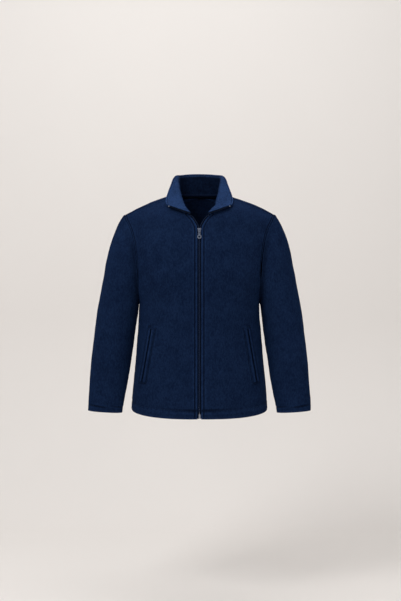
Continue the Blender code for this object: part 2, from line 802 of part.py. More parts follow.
def prism(name, outline, low, high, upright=False):
    """Solid from an outline of (x, t), from low to high along the zip's normal.

    An upright prism takes (t, n) instead and runs from low to high across the zip. Local X is
    across, local Z runs up the zip and local -Y is its outward normal.
    """
    work = bmesh.new()
    if upright:
        lower = [work.verts.new((low * MM, -n * MM, t * MM)) for t, n in outline]
        upper = [work.verts.new((high * MM, -n * MM, t * MM)) for t, n in outline]
    else:
        lower = [work.verts.new((x * MM, -low * MM, t * MM)) for x, t in outline]
        upper = [work.verts.new((x * MM, -high * MM, t * MM)) for x, t in outline]
    work.faces.new(lower)
    work.faces.new(upper[::-1])
    count = len(outline)
    for k in range(count):
        after = (k + 1) % count
        work.faces.new([lower[after], lower[k], upper[k], upper[after]])
    bmesh.ops.recalc_face_normals(work, faces=work.faces)
    mesh = bpy.data.meshes.new(name)
    work.to_mesh(mesh)
    work.free()
    item = bpy.data.objects.new(name, mesh)
    bpy.context.scene.collection.objects.link(item)
    return item


def combine(item, other, operation):
    """Join a helper solid to an item, or cut it away."""
    other.hide_render = True
    other.display_type = "WIRE"
    other.parent = item.parent
    step = item.modifiers.new(other.name, "BOOLEAN")
    step.operation = operation
    step.solver = "EXACT"
    step.object = other


def slider_outline(inset):
    bottom, middle, top = (half - inset for half in SLIDER_HALF_WIDTHS)
    reach = SLIDER_HALF_LENGTH
    return [
        (-bottom + 0.8, -reach), (bottom - 0.8, -reach), (bottom, -reach + 0.8),
        (middle, 0), (top, reach - 0.8), (top - 1.2, reach),
        (-top + 1.2, reach), (-top, reach - 0.8), (-middle, 0), (-bottom, -reach + 0.8),
    ]


def zip_slider(base, material):
    """Two plates, two flanges, the wedge between the coils and the bridge for the tab."""
    back_face = -TAPE_THICK - PLATE_CLEAR
    front_face = SEAM_GAP + COIL_THICK + PLATE_CLEAR
    outline = slider_outline(0)
    slider = prism("zip_slider", outline, front_face, front_face + PLATE_THICK)
    slider.parent = base
    helpers = [prism("slider_back_plate", outline, back_face - PLATE_THICK, back_face)]
    bottom, middle, top = SLIDER_HALF_WIDTHS
    reach = SLIDER_HALF_LENGTH - 1.0
    for side, hand in ((1, "left"), (-1, "right")):
        flange = [
            (side * bottom, -reach), (side * (bottom - 1.0), -reach),
            (side * (middle - 1.0), 0), (side * (top - 1.0), reach),
            (side * top, reach), (side * middle, 0),
        ]
        low = SEAM_GAP + 0.1
        helpers.append(prism("slider_flange_" + hand, flange, low, front_face + 0.2))
    wedge = [(0, 1.8), (0.9, 3.4), (0.9, 5.2), (-0.9, 5.2), (-0.9, 3.4)]
    helpers.append(prism("slider_wedge", wedge, back_face - 0.2, front_face + 0.2))
    foot = front_face + PLATE_THICK
    crown = foot + BRIDGE_HEIGHT
    reach = BRIDGE_HALF_LENGTH
    inside = reach - BRIDGE_BAR
    bridge = [
        (-reach, foot - 0.3), (-reach, crown + 0.3), (-reach + 0.6, crown + BRIDGE_BAR),
        (reach - 0.6, crown + BRIDGE_BAR), (reach, crown + 0.3), (reach, foot - 0.3),
        (inside, foot - 0.3), (inside, crown), (-inside, crown), (-inside, foot - 0.3),
    ]
    width = BRIDGE_HALF_WIDTH
    helpers.append(prism("slider_bridge", bridge, -width, width, upright=True))
    for helper in helpers:
        combine(slider, helper, "UNION")
    slider.data.materials.append(material)
    return slider, foot + BRIDGE_HEIGHT / 2


def zip_tab(hinge, material):
    """Pull tab with a window for the bridge, a slot and a ring end; it hangs from local Z 0."""
    half = TAB_THICK / 2
    width = TAB_HALF_WIDTH
    ring = TAB_RING_RADIUS
    meet = math.asin(width / ring)
    arc_start = math.pi / 2 - meet
    outline = [(width, 0.3), (width - 0.5, 0.7), (-width + 0.5, 0.7), (-width, 0.3)]
    turns = 20
    for k in range(turns + 1):
        angle = math.pi - arc_start + (math.pi + 2 * arc_start) * k / turns
        outline.append((ring * math.cos(angle), -TAB_REACH + ring * math.sin(angle)))
    tab = prism("zip_pull_tab", outline, -half, half)
    tab.parent = hinge
    window, slot = (
        [(-wide, low), (wide, low), (wide, high), (-wide, high)]
        for wide, low, high in (TAB_WINDOW, TAB_SLOT)
    )
    hole = [
        (TAB_RING_HOLE * math.cos(turn), -TAB_REACH + TAB_RING_HOLE * math.sin(turn))
        for turn in (2 * math.pi * k / 16 for k in range(16))
    ]
    for name, shape in (("tab_window", window), ("tab_slot", slot), ("tab_hole", hole)):
        combine(tab, prism(name, shape, -half - 1, half + 1), "DIFFERENCE")
    tab.data.materials.append(material)
    return tab


def zip_frame(name, point, up, normal):
    """Empty on the zip: local Z up the zip, local -Y outward."""
    empty = bpy.data.objects.new(name, None)
    turn = Matrix((ACROSS, -normal, up)).transposed().to_4x4()
    empty.matrix_world = Matrix.Translation(point * MM) @ turn
    bpy.context.scene.collection.objects.link(empty)
    return empty


def build_zip(cloth, front, collar, tape_material, coil_material, metal):
    line = ZipLine()
    edge = open_edge(cloth, front, collar)
    for hand, flip in (("left", False), ("right", True)):
        zip_tape("zip_tape_" + hand, cloth, front, edge, flip, tape_material)
        open_coil("zip_coil_" + hand, line, edge, flip, coil_material)
        top_stop("zip_top_stop_" + hand, edge, flip, metal)
    zip_chain(line, front, coil_material)
    block("zip_box", line, BOX_ACROSS, BOX_FOOT_Z, BOX_LAYERS, metal)
    block("zip_pin", line, PIN_ACROSS, PIN_FOOT_Z, PIN_LAYERS, metal)
    point, up, normal = line.at(SLIDER_Z)
    seat = zip_frame("slider_seat", point, up, normal)
    _, height = zip_slider(seat, metal)
    hinge = zip_frame("tab_hinge", point + normal * height, up, normal)
    zip_tab(hinge, metal)


# --- Materials and the whole --------------------------------------------------------------------

def plain_material(name, colour, roughness, metallic=0.0):
    material = bpy.data.materials.new(name)
    material.use_nodes = True
    shader = material.node_tree.nodes["Principled BSDF"]
    shader.inputs["Base Color"].default_value = (*colour, 1)
    shader.inputs["Roughness"].default_value = roughness
    shader.inputs["Metallic"].default_value = metallic
    return material


def clear_scene():
    for item in list(bpy.data.objects):
        bpy.data.objects.remove(item)


def main():
    clear_scene()
    fleece = plain_material("navy_fleece", NAVY, 0.95)
    lining_side = plain_material("navy_fleece_collar", NAVY_INSIDE, 0.95)
    tape = plain_material("navy_tape", TAPE_NAVY, 0.8)
    coil = plain_material("navy_coil", COIL_NAVY, 0.5)
    metal = plain_material("silver_metal", SILVER, 0.3, 1.0)

    cloth, front, collar = lay_out_cloth()
    for name in ("front_left", "front_right", "back", "sleeve_left", "sleeve_right"):
        cloth_layer(cloth, name, name, fleece)
    cloth_layer(cloth, "collar", "collar_outer", fleece, 0, FLEECE)
    cloth_layer(cloth, "collar", "collar_inner", lining_side, FLEECE + SEAM_GAP, FLEECE)
    neck_tape(cloth, collar, tape)
    near = SLIT_WIDTH / 2
    far = near + LIP_WIDTH
    for hand, flip in (("left", False), ("right", True)):
        pocket_lip("pocket_lip_front_" + hand, -near, -far, flip, fleece)
        pocket_lip("pocket_lip_back_" + hand, near, far, flip, fleece)
    build_zip(cloth, front, collar, tape, coil, metal)


main()
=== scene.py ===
"""Fleece zip jacket: cloth, stitching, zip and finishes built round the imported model."""

import functools
import math
from collections import namedtuple

import bpy
import numpy as np
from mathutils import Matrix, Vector, noise
from mathutils.bvhtree import BVHTree


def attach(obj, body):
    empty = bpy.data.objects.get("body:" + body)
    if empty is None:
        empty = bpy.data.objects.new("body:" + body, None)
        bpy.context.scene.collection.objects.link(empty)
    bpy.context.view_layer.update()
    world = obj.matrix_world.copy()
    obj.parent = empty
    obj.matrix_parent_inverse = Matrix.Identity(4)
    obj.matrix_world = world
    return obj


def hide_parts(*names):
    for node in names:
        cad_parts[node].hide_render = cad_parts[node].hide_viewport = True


bl_info = {
    "name": "Fleece Zip Jacket",
    "version": (1, 0, 0),
    "blender": (4, 5, 0),
    "location": "View3D > Sidebar > Jacket",
    "description": "Builds the cloth, stitching, zip and studio of a fleece zip jacket",
    "category": "Object",
}

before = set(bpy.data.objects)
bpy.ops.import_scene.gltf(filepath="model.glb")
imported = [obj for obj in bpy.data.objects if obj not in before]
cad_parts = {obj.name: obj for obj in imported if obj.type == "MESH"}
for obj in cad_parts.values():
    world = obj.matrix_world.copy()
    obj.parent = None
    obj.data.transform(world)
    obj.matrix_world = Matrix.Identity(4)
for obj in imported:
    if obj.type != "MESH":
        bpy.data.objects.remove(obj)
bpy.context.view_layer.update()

MM = 0.001

# Tables are in millimetres and hold the wearer's left half; the right half mirrors it.
# Panel rows run from the middle (inner) to the side seam or the armhole (outer).
Row = namedtuple("Row", "name inner outer lead dip turn_x turn_y lift")
UNDERARM = 5                 # index of the underarm row in both tables
NECK_CORNER = 12             # index of the row that reaches the neck seam

FRONT_ROWS = (
    Row("hem", (6, -124, -705), (218.0, 0, -684), 0.56, 0, 0, 0.56, -9),
    Row("low hip", (6, -125, -640), (211.5, 0, -620), 0.56, 0, 0, 0.56, -4),
    Row("hip", (6, -124, -560), (204.5, 0, -545), 0.56, 0, 0, 0.56, 0),
    Row("waist", (6, -122, -480), (198.0, 0, -470), 0.56, 0, 0, 0.56, 0),
    Row("ribs", (6, -125, -400), (192.5, 0, -402), 0.56, 0, 0, 0.56, 0),
    Row("underarm", (6, -129, -335), (190.0, 0, -345), 0.56, 0, 0, 0.56, 0),
    Row("low armhole", (6, -130.5, -292), (190.6, -34, -324), 0.55, 0, 0.03, 0.55, 0),
    Row("chest", (6, -131, -252), (192.3, -56, -280), 0.54, 0, 0.07, 0.55, 0),
    Row("high chest", (6, -129.5, -212), (195.0, -66, -227), 0.53, 0, 0.12, 0.55, 0),
    Row("collarbone", (6, -125, -170), (202.0, -62, -170), 0.52, 0, 0.18, 0.55, 0),
    Row("zip opening", (6, -113.5, -121), (210.0, -52, -136), 0.50, 0, 0.24, 0.55, 0),
    Row("open edge", (16, -107, -95), (217.5, -43, -114), 0.48, 0, 0.28, 0.55, 1),
    Row("neck corner", (33, -99, -75), (224.0, -37, -100), 0.45, 0.05, 0.30, 0.55, 2),
    Row("front neck", (55, -84, -57), (230.0, -31, -89.5), 0.42, 0.14, 0.32, 0.50, 4),
    Row("side neck", (73, -57, -34), (234.5, -26.5, -80), 0.38, 0.25, 0.33, 0.42, 5),
    Row("shoulder seam", (83.5, -26, -12.5), (238.0, -22, -73), 0.34, 0.33, 0.33, 0.33, 6),
)

BACK_ROWS = (
    Row("hem", (0, 122, -690), (218.0, 0, -684), 0.56, 0, 0, 0.56, -3),
    Row("low hip", (0, 120, -625), (211.5, 0, -620), 0.56, 0, 0, 0.56, -1),
    Row("hip", (0, 114, -548), (204.5, 0, -545), 0.56, 0, 0, 0.56, 0),
    Row("waist", (0, 109, -472), (198.0, 0, -470), 0.56, 0, 0, 0.56, 0),
    Row("ribs", (0, 112, -402), (192.5, 0, -402), 0.56, 0, 0, 0.56, 0),
    Row("underarm", (0, 118, -340), (190.0, 0, -345), 0.56, 0, 0, 0.56, 0),
    Row("low armhole", (0, 123, -292), (190.6, 36, -324), 0.55, 0, 0.03, 0.55, 0),
    Row("low blade", (0, 126, -240), (193.0, 60, -278), 0.54, 0, 0.07, 0.55, 0),
    Row("blade", (0, 126, -185), (197.5, 72, -223), 0.53, 0, 0.12, 0.55, 0),
    Row("high blade", (0, 121, -130), (205.0, 70, -168), 0.52, 0, 0.17, 0.55, 0),
    Row("yoke", (0, 110, -80), (214.0, 58, -128), 0.50, 0, 0.22, 0.52, 2),
    Row("nape", (0, 95, -38), (222.5, 46, -105), 0.47, 0, 0.26, 0.48, 4),
    Row("back neck", (0, 75, -4), (230.0, 34, -88), 0.44, 0.02, 0.29, 0.44, 6),
    Row("near nape", (34, 72, -4.5), (235.5, 22, -77), 0.40, 0.12, 0.31, 0.40, 6),
    Row("round neck", (62, 58, -4), (240.0, 10, -70), 0.38, 0.24, 0.32, 0.36, 7),
    Row("behind shoulder", (80, 32, -2), (242.3, -1, -67.5), 0.36, 0.31, 0.33, 0.34, 7),
    Row("shoulder", (86, 4, -3), (242.0, -12, -69), 0.35, 0.33, 0.33, 0.33, 7),
    Row("shoulder seam", (83.5, -26, -12.5), (238.0, -22, -73), 0.34, 0.33, 0.33, 0.33, 6),
)

# Sleeve rings, as (x, z) of their outer and inner points. follow is how much of the armhole's
# own shape a ring keeps.
Ring = namedtuple("Ring", "name outer inner mid_y half_depth follow")
SLEEVE_RINGS = (
    Ring("armhole", (242.3, -67.5), (190.0, -345), 0, 68, 1.0),
    Ring("cap 1", (250, -79), (192.8, -347.5), 0, 69, 0.86),
    Ring("cap 2", (260.5, -99), (194.8, -352), 0, 69.5, 0.62),
    Ring("cap 3", (273.5, -130), (196.0, -359), 1, 70, 0.38),
    Ring("cap 4", (287, -172), (197.5, -370), 1, 69, 0.18),
    Ring("upper arm", (299, -222), (199.5, -387), 2, 67, 0.06),
    Ring("mid arm", (309, -272), (202.8, -411), 2, 65, 0),
    Ring("above elbow", (321.5, -345), (208.5, -457), 0, 61, 0),
    Ring("elbow", (333, -424), (215.5, -509), -5, 57, 0),
    Ring("forearm", (342, -510), (223.5, -566), -14, 50, 0),
    Ring("low forearm", (348, -590), (232.5, -623), -25, 41, 0),
    Ring("above cuff", (351, -652), (240.5, -669), -34, 33, 0),
    Ring("cuff", (352, -687), (244.5, -694), -38, 29, 0),
)

# Collar stations from the zip to the centre back: the fold line and the top edge of the outer
# face. The base is the neck seam of the panels.
Station = namedtuple("Station", "name crest top")
COLLAR_STATIONS = (
    Station("zip end", (31, -104, -70), (91, -80, -48)),
    Station("front", (42, -88, -54.5), (103, -66, -41)),
    Station("side front", (53, -64, -30), (105.5, -46, -29)),
    Station("shoulder seam", (61.5, -37, -2), (103, -27, -13)),
    Station("shoulder", (66.5, -10, 24), (94.5, -9, 17)),
    Station("behind shoulder", (71, 18, 51), (85, 8, 51)),
    Station("side back", (68.5, 49, 59), (69, 48, 67)),
    Station("near back", (38, 80.5, 65.5), (38, 82, 73.5)),
    Station("centre back", (0, 86.5, 67.5), (0, 88, 75.5)),
)
FRONT_STATIONS = 3           # stations from the zip end to the shoulder seam
CREST_ROUND = 4.0            # reach of the fold's rounding
CREST_SPREAD = 2.2           # half the air inside the fold
FALL_MIDDLE = 0.55           # knot on the collar's turned-out leaf, as a share of its fall

# Soft folds as ridges (height > 0) and troughs (height < 0), each along a line of (x, z) on the
# front (side -1) or the back (side 1).
Fold = namedtuple("Fold", "name side start end width height")
FOLDS = (
    Fold("right front drag", -1, (-112, -258), (-168, -390), 17, 4.0),
    Fold("left front drag", -1, (134, -316), (162, -384), 16, 2.6),
    Fold("right sleeve trough", -1, (-238, -112), (-202, -262), 13, -5.0),
    Fold("right sleeve ridge", -1, (-254, -140), (-206, -300), 16, 3.5),
    Fold("left sleeve trough", -1, (224, -130), (196, -262), 11, -4.0),
    Fold("left sleeve bend", -1, (330, -420), (250, -470), 20, -3.0),
    Fold("right sleeve bend", -1, (-336, -440), (-262, -480), 22, -2.5),
    Fold("right blade drag", 1, (-150, -230), (-192, -330), 18, 3.5),
    Fold("left blade drag", 1, (142, -250), (190, -345), 18, 3.0),
    Fold("back waist trough", 1, (-70, -452), (96, -470), 26, -3.0),
)

# Small folds that only the cloth shows, as in FOLDS
SOFT_FOLDS = (
    Fold("right chest pull", -1, (-150, -205), (-120, -330), 15, 1.6),
    Fold("left chest pull", -1, (140, -215), (122, -345), 16, 1.4),
    Fold("right belly slack", -1, (-60, -430), (-120, -520), 26, -1.6),
    Fold("left belly slack", -1, (50, -360), (105, -470), 28, -1.5),
    Fold("right hem ripple", -1, (-110, -600), (-98, -700), 18, 1.5),
    Fold("left hem ripple", -1, (84, -585), (92, -700), 20, 1.4),
    Fold("right upper sleeve", -1, (-262, -230), (-228, -340), 14, -1.8),
    Fold("left upper sleeve", -1, (268, -210), (236, -350), 15, -1.7),
    Fold("right forearm", -1, (-318, -520), (-266, -566), 16, 1.6),
    Fold("left forearm", -1, (322, -508), (272, -540), 15, 1.5),
    Fold("right cuff slack", -1, (-330, -628), (-282, -642), 10, -1.2),
    Fold("left cuff slack", -1, (334, -618), (276, -640), 11, -1.3),
    Fold("back drape left", 1, (60, -470), (96, -650), 26, 2.0),
    Fold("back drape right", 1, (-80, -440), (-104, -640), 28, 2.2),
    Fold("back right blade", 1, (-120, -140), (-158, -260), 20, 2.0),
    Fold("back left elbow", 1, (322, -440), (256, -476), 14, -2.2),
    Fold("back right elbow", 1, (-326, -452), (-258, -470), 15, -2.0),
    Fold("back left forearm", 1, (336, -560), (276, -590), 14, 1.6),
    Fold("back right forearm", 1, (-334, -548), (-276, -600), 15, 1.5),
)
# Slow unevenness of the whole cloth: length of a wave and its height
WAVES = ((105.0, 2.2), (42.0, 0.9), (17.0, 0.25))

SLIDER_Z = -122.5
CHAIN_FOOT_Z = -690.0
TAPE_FOOT_Z = -704.0
POCKET_TOP = (149.0, -430.0)  # slit's ends on the left front, as (x, z)
POCKET_FOOT = (178.0, -594.0)
NECK_TAPE_WIDTH = 10.0
# Darkest painted shade in stitch lines and seams
PAINTED_SHADE_DARKEST = -0.7
ARMHOLE_SHADE = -0.42        # painted shade on a sleeve beside the armhole, where the armhole pulls it into a trough
LEAF_SHARE = "leaf_share"    # point attribute: 1 on the collar's turned-out leaf, which gets the painted-light copy of the inner fleece
PAINTED_LIGHT_AND_SHADE = "painted_light_and_shade"          # point attribute: painted highlight on a ridge, painted shade in a groove

# Bands of painted highlight (strength above 0) and painted shade (strength below 0) beside a line:
# distance from it, reach and strength
PAINTED_LIGHT_BY_STITCH = ((3.4, 1.7, 0.38), (0.0, 1.9, -0.80))
PAINTED_LIGHT_BY_SEAM = ((2.8, 1.3, 0.42), (0.0, 1.7, -0.90))
PAINTED_HIGHLIGHT_BY_EDGE = ((0.0, 2.6, 0.75),)
PAINTED_LIGHT_BY_OUTLINE = ((-3.0, 1.8, 0.30), (0.0, 1.7, -0.50))
PAINTED_SHADE_BY_SLIT = ((0.0, 2.2, 0.85),)
PAINTED_LIGHT_ON_LIP = ((3.0, 2.2, 0.42), (0.0, 1.3, -0.85))
EASE_REACH = 16.0            # reach of the easing inward of the underarm
EDGE_GROOVE = 0.9            # depth of a stitch line in the cloth
SEAM_RIDGE = 0.9             # rise of the cloth over a seam's turned edges
LIP_NEAR = 1.7               # from the middle of a pocket's slit to a lip
SLIT_DEPTH = 2.4             # how far the front falls in under a pocket's slit
POCKET_BOX = 12.5            # stitched outline: half its width, and past the slit's ends
POCKET_HEAD = 8.0
POCKET_TAIL = 4.0
SOFT_FOLD_RISE = 1.6         # how much the soft folds are raised
COIL_RISE = 0.52             # half the thickness of a wound coil
COIL_WIRE = 0.30             # radius of the coil's own wire
COIL_SIDES = 5
TURN_STEPS = 10              # points along the wire in one turn of the coil
TAPE_LINES = (1.0, 1.3, 1.8, 3.0, 4.6, 6.4, 8.2, 9.2, 9.7, 10.0)  # across the neck tape
TAPE_AIR = 0.6               # between the collar's inner layer and the neck tape
TAPE_ROUND = 0.3             # rounding of the neck tape's edges

# Studio: softboxes as name, place, size and power
SOFT_LIGHTS = (
    ("key_softbox", (-1.5, -2.1, 2.1), (1.1, 1.1), 56.0),
    ("fill_softbox", (1.9, -2.5, 0.9), (1.6, 1.6), 11.0),
    ("top_softbox", (0.0, 0.1, 2.3), (2.2, 1.6), 24.0),
    ("paper_wash", (0.0, -1.0, 2.9), (3.0, 1.0), 14.0),
)
AIR_STRENGTH = 0.48
CAMERA_PLACE = (0.0035, -3.0, -0.340)
CAMERA_LENS = 56.16
ROW_PITCH = 65.0             # length of one table row above the hem
NECK_PITCH = 32.0            # length of one station along the neck
ARMHOLE_PITCH = 40.0         # length of the first row of the armhole

# Distances from an edge at which the cloth has a line of points
EDGE_LINES = (0.0, 0.35, 0.8, 1.4, 2.2, 3.4, 4.4, 5.0, 5.6, 6.2, 7.0, 8.2)
ZIP_LINES = (0.0, 0.35, 0.8, 1.3, 2.0, 3.4, 5.0, 6.8, 7.4, 8.0, 8.6, 9.4, 11.0, 13.0)
SEAM_STITCH = 5.6            # topstitch from an armhole seam
ZIP_STITCH = 8.0             # topstitch from the fleece edge of a front
HEM_STITCHES = (21.5, 27.5)
CUFF_STITCH = 18.0
COLLAR_STITCH = 5.0
SHOULDER_STITCHES = (1.8, 7.4)


class JacketSizes(bpy.types.PropertyGroup):
    """Sizes of the cloth and of the sewing"""

    fleece: bpy.props.FloatProperty(
        name="Fleece", description="Thickness of one layer of fleece",
        default=0.0026, min=0.001, max=0.004, unit="LENGTH", precision=4)
    hem: bpy.props.FloatProperty(
        name="Turned hem", description="Thickness of the turned-up hem and cuffs",
        default=0.0044, min=0.002, max=0.006, unit="LENGTH", precision=4)
    hem_depth: bpy.props.FloatProperty(
        name="Hem depth", description="Height of the turned-up hem and cuffs",
        default=0.024, min=0.01, max=0.04, unit="LENGTH", precision=4)
    stitch: bpy.props.FloatProperty(
        name="Stitch", description="Length of one stitch with its gap",
        default=0.0031, min=0.002, max=0.006, unit="LENGTH", precision=4)
    thread: bpy.props.FloatProperty(
        name="Thread", description="Thickness of the sewing thread",
        default=0.0005, min=0.0002, max=0.001, unit="LENGTH", precision=4)
    coil: bpy.props.FloatProperty(
        name="Coil pitch", description="Distance between two turns of the zip's coil",
        default=0.0015, min=0.001, max=0.003, unit="LENGTH", precision=4)
    slack: bpy.props.FloatProperty(
        name="Slack", description="How strongly the cloth's slow unevenness shows",
        default=1.0, min=0.0, max=2.0, subtype="FACTOR")


class JacketColours(bpy.types.PropertyGroup):
    """Colours of the cloth, thread, zip and studio"""

    fleece: bpy.props.FloatVectorProperty(
        name="Fleece", description="Ground colour of the fleece", subtype="COLOR",
        size=3, min=0.0, max=1.0, default=(0.0029, 0.0080, 0.0270))
    tips: bpy.props.FloatVectorProperty(
        name="Nap tips", description="Colour of the brushed tips of the nap", subtype="COLOR",
        size=3, min=0.0, max=1.0, default=(0.0070, 0.0178, 0.0520))
    # Painted shade: the darker copy of the fleece for the collar's inner layer behind the neck
    inside: bpy.props.FloatVectorProperty(
        name="Inner face", description="Colour of the collar's inner layer", subtype="COLOR",
        size=3, min=0.0, max=1.0, default=(0.0008, 0.0022, 0.0080))
    # Painted light: the lighter copy of the fleece for the collar's turned-out leaf
    leaf: bpy.props.FloatVectorProperty(
        name="Collar leaf", description="Colour of the turned-out leaf of the collar",
        subtype="COLOR", size=3, min=0.0, max=1.0, default=(0.0080, 0.0190, 0.0540))
    tape: bpy.props.FloatVectorProperty(
        name="Tape", description="Colour of the woven tapes", subtype="COLOR",
        size=3, min=0.0, max=1.0, default=(0.0020, 0.0050, 0.0150))
    coil: bpy.props.FloatVectorProperty(
        name="Coil", description="Colour of the nylon coil", subtype="COLOR",
        size=3, min=0.0, max=1.0, default=(0.0120, 0.0250, 0.0660))
    thread: bpy.props.FloatVectorProperty(
        name="Thread", description="Colour of the sewing thread", subtype="COLOR",
        size=3, min=0.0, max=1.0, default=(0.0080, 0.0180, 0.0480))
    metal: bpy.props.FloatVectorProperty(
        name="Metal", description="Colour of the slider, tab, box and stops", subtype="COLOR",
        size=3, min=0.0, max=1.0, default=(0.17, 0.195, 0.26))
    studio: bpy.props.FloatVectorProperty(
        name="Studio", description="Colour of the floor and backdrop", subtype="COLOR",
        size=3, min=0.0, max=1.0, default=(0.80, 0.768, 0.742))


def sizes():
    return bpy.context.scene.jacket_sizes


def colours():
    return bpy.context.scene.jacket_colours


# --- Curves -------------------------------------------------------------------------------

def gentle_slope(before, after):
    """Slope at a knot that never overshoots its neighbours."""
    agree = before * after > 0
    total = np.where(agree, before + after, 1.0)
    return np.where(agree, 2 * before * after / total, 0.0)


def through(knots, place):
    """Smooth row of values at place along a table, one knot per unit."""
    knots = np.asarray(knots, float)
    last = len(knots) - 1
    index = min(max(int(place), 0), last - 1)
    part = place - index
    rest = 1 - part
    step = knots[index + 1] - knots[index]
    before = knots[index] - knots[index - 1] if index > 0 else step
    after = knots[index + 2] - knots[index + 1] if index + 2 <= last else step
    leave = gentle_slope(before, step) if index > 0 else step
    meet = gentle_slope(step, after) if index + 2 <= last else step
    value = knots[index] * rest * rest * (1 + 2 * part)
    value = value + knots[index + 1] * part * part * (3 - 2 * part)
    return value + leave * part * rest * rest - meet * part * part * rest


def arc_lengths(points, axis=0):
    """Distance along a line of points, or along one axis of a grid of them."""
    steps = np.linalg.norm(np.diff(points, axis=axis), axis=-1)
    pad = [(0, 0)] * steps.ndim
    pad[axis] = (1, 0)
    return np.pad(np.cumsum(steps, axis=axis), pad)


def at_lengths(points, along, wanted):
    return np.stack([np.interp(wanted, along, points[:, k]) for k in range(3)], axis=1)


def resample(points, near, count, far):
    """Points of a line at set distances from both ends and evenly between them."""
    along = arc_lengths(points)
    length = along[-1]
    between = np.linspace(near[-1], length - far[-1], count + 2)[1:-1]
    wanted = np.concatenate([near, between, length - np.array(far[::-1])])
    return at_lengths(points, along, wanted), wanted, length - wanted


def smooth_step(value, low, high):
    share = np.clip((value - low) / (high - low), 0, 1)
    return share * share * (3 - 2 * share)


def unit(vectors):
    return vectors / np.maximum(np.linalg.norm(vectors, axis=-1, keepdims=True), 1e-12)


def mirrored(points):
    return points * np.array((-1.0, 1.0, 1.0))


# --- Form of the garment, left half -------------------------------------------------------

def row_end(rows, place):
    """Outer end of a row: one curve up the side seam, another round the armhole."""
    ends = [row.outer for row in rows]
    if place <= UNDERARM:
        return through(ends[: UNDERARM + 1], place)
    return through(ends[UNDERARM:], place - UNDERARM)


def row_start(rows, place):
    return through([row.inner for row in rows], place)


def row_curve(rows, place):
    """Fine line of one row of a front or back."""
    start = row_start(rows, place)
    end = row_end(rows, place)
    lead, dip, turn_x, turn_y, lift = through([row[3:] for row in rows], place)
    span = end - start
    leave = start + np.array((lead * span[0], dip * span[1], span[2] / 3 + lift))
    meet = end - np.array((turn_x * span[0], turn_y * span[1], span[2] / 3 - lift))
    part = np.linspace(0, 1, 161)[:, None]
    rest = 1 - part
    return (
        start * rest ** 3 + leave * 3 * part * rest ** 2
        + meet * 3 * part ** 2 * rest + end * part ** 3
    )


def neck_seam(place):
    """Neck seam at a collar station: along the front, then along the back."""
    if place <= FRONT_STATIONS:
        return row_start(FRONT_ROWS, NECK_CORNER + place)
    return row_start(BACK_ROWS, len(BACK_ROWS) - 1 - (place - FRONT_STATIONS))


def collar_curve(place):
    """Fine line of the collar's outer face, from the neck seam over the fold to the edge."""
    base = neck_seam(place)
    crest = through([station.crest for station in COLLAR_STATIONS], place)
    top = through([station.top for station in COLLAR_STATIONS], place)
    rise = crest - base
    fall = top - crest
    up, down = unit(rise), unit(fall)
    reach = min(CREST_ROUND, 0.35 * np.linalg.norm(rise), 0.35 * np.linalg.norm(fall))
    folded = (up - down) / 2
    sharp = float(np.linalg.norm(folded))
    spread = top - base
    if sharp > 0.01:
        towards = folded / sharp
        spread = spread - towards * spread.dot(towards)
    spread = unit(spread) * CREST_SPREAD * sharp * min(1, reach / CREST_ROUND)
    foot = min(0.4, NECK_TAPE_WIDTH / float(np.linalg.norm(rise)))
    knots = np.array([
        base,
        base + rise * foot,
        crest - up * reach - spread,
        crest,
        crest + down * reach + spread,
        crest + fall * FALL_MIDDLE,
        top,
    ])
    along = arc_lengths(knots)
    fine = np.linspace(0, along[-1], 241)
    sharp_line = at_lengths(knots, along, fine)
    kernel = np.hanning(15)
    kernel /= kernel.sum()
    before = 2 * sharp_line[0] - sharp_line[7:0:-1]
    after = 2 * sharp_line[-1] - sharp_line[-2:-9:-1]
    padded = np.concatenate([before, sharp_line, after])
    return np.stack([np.convolve(padded[:, k], kernel, "valid") for k in range(3)], axis=1)


def sleeve_rings(loop, places):
    """Rings of the sleeve below the armhole's points."""
    table = np.array([
        (*ring.outer, *ring.inner, ring.mid_y, ring.half_depth, ring.follow)
        for ring in SLEEVE_RINGS
    ])
    rings = []
    angles = own = None
    for place in places:
        outer_x, outer_z, inner_x, inner_z, mid_y, depth, follow = through(table, place)
        outer = np.array((outer_x, mid_y, outer_z))
        inner = np.array((inner_x, mid_y, inner_z))
        middle, axis = (outer + inner) / 2, (outer - inner) / 2
        if angles is None:
            offset = loop - middle
            angles = np.arctan2(-offset[:, 1] / depth, offset @ axis / axis.dot(axis))
        plain = middle + np.cos(angles)[:, None] * axis
        plain = plain - np.sin(angles)[:, None] * np.array((0, depth, 0))
        if own is None:
            own = loop - plain
        rings.append(plain + own * follow)
    return np.array(rings)


def fold_height(points, normals, folds):
    """How far soft folds move points of the cloth along their normals."""
    total = np.zeros(len(points))
    flat = points[:, (0, 2)]
    for fold in folds:
        start = np.array(fold.start, float)
        along = np.array(fold.end) - start
        spot = flat - start
        share = np.clip(spot @ along / along.dot(along), 0, 1)
        away = np.linalg.norm(spot - share[:, None] * along, axis=1) / fold.width
        faces_it = smooth_step(normals[:, 1] * fold.side, 0.0, 0.35)
        swell = np.sin(math.pi * (0.15 + 0.7 * share))
        total += fold.height * swell * faces_it * np.exp(-away * away)
    return total


def wave_height(points):
    """Slow unevenness of the cloth."""
    total = np.zeros(len(points))
    for n, (length, height) in enumerate(WAVES):
        shift = Vector((7.3 * n + 1.7, 3.1 * n, 5.9 * n))
        total += height * np.array([
            noise.noise(Vector(point) / length + shift) for point in points
        ])
    return total * sizes().slack


# --- Cloth --------------------------------------------------------------------------------

def keys_of(points):
    return np.round(points * 500).astype(np.int64)


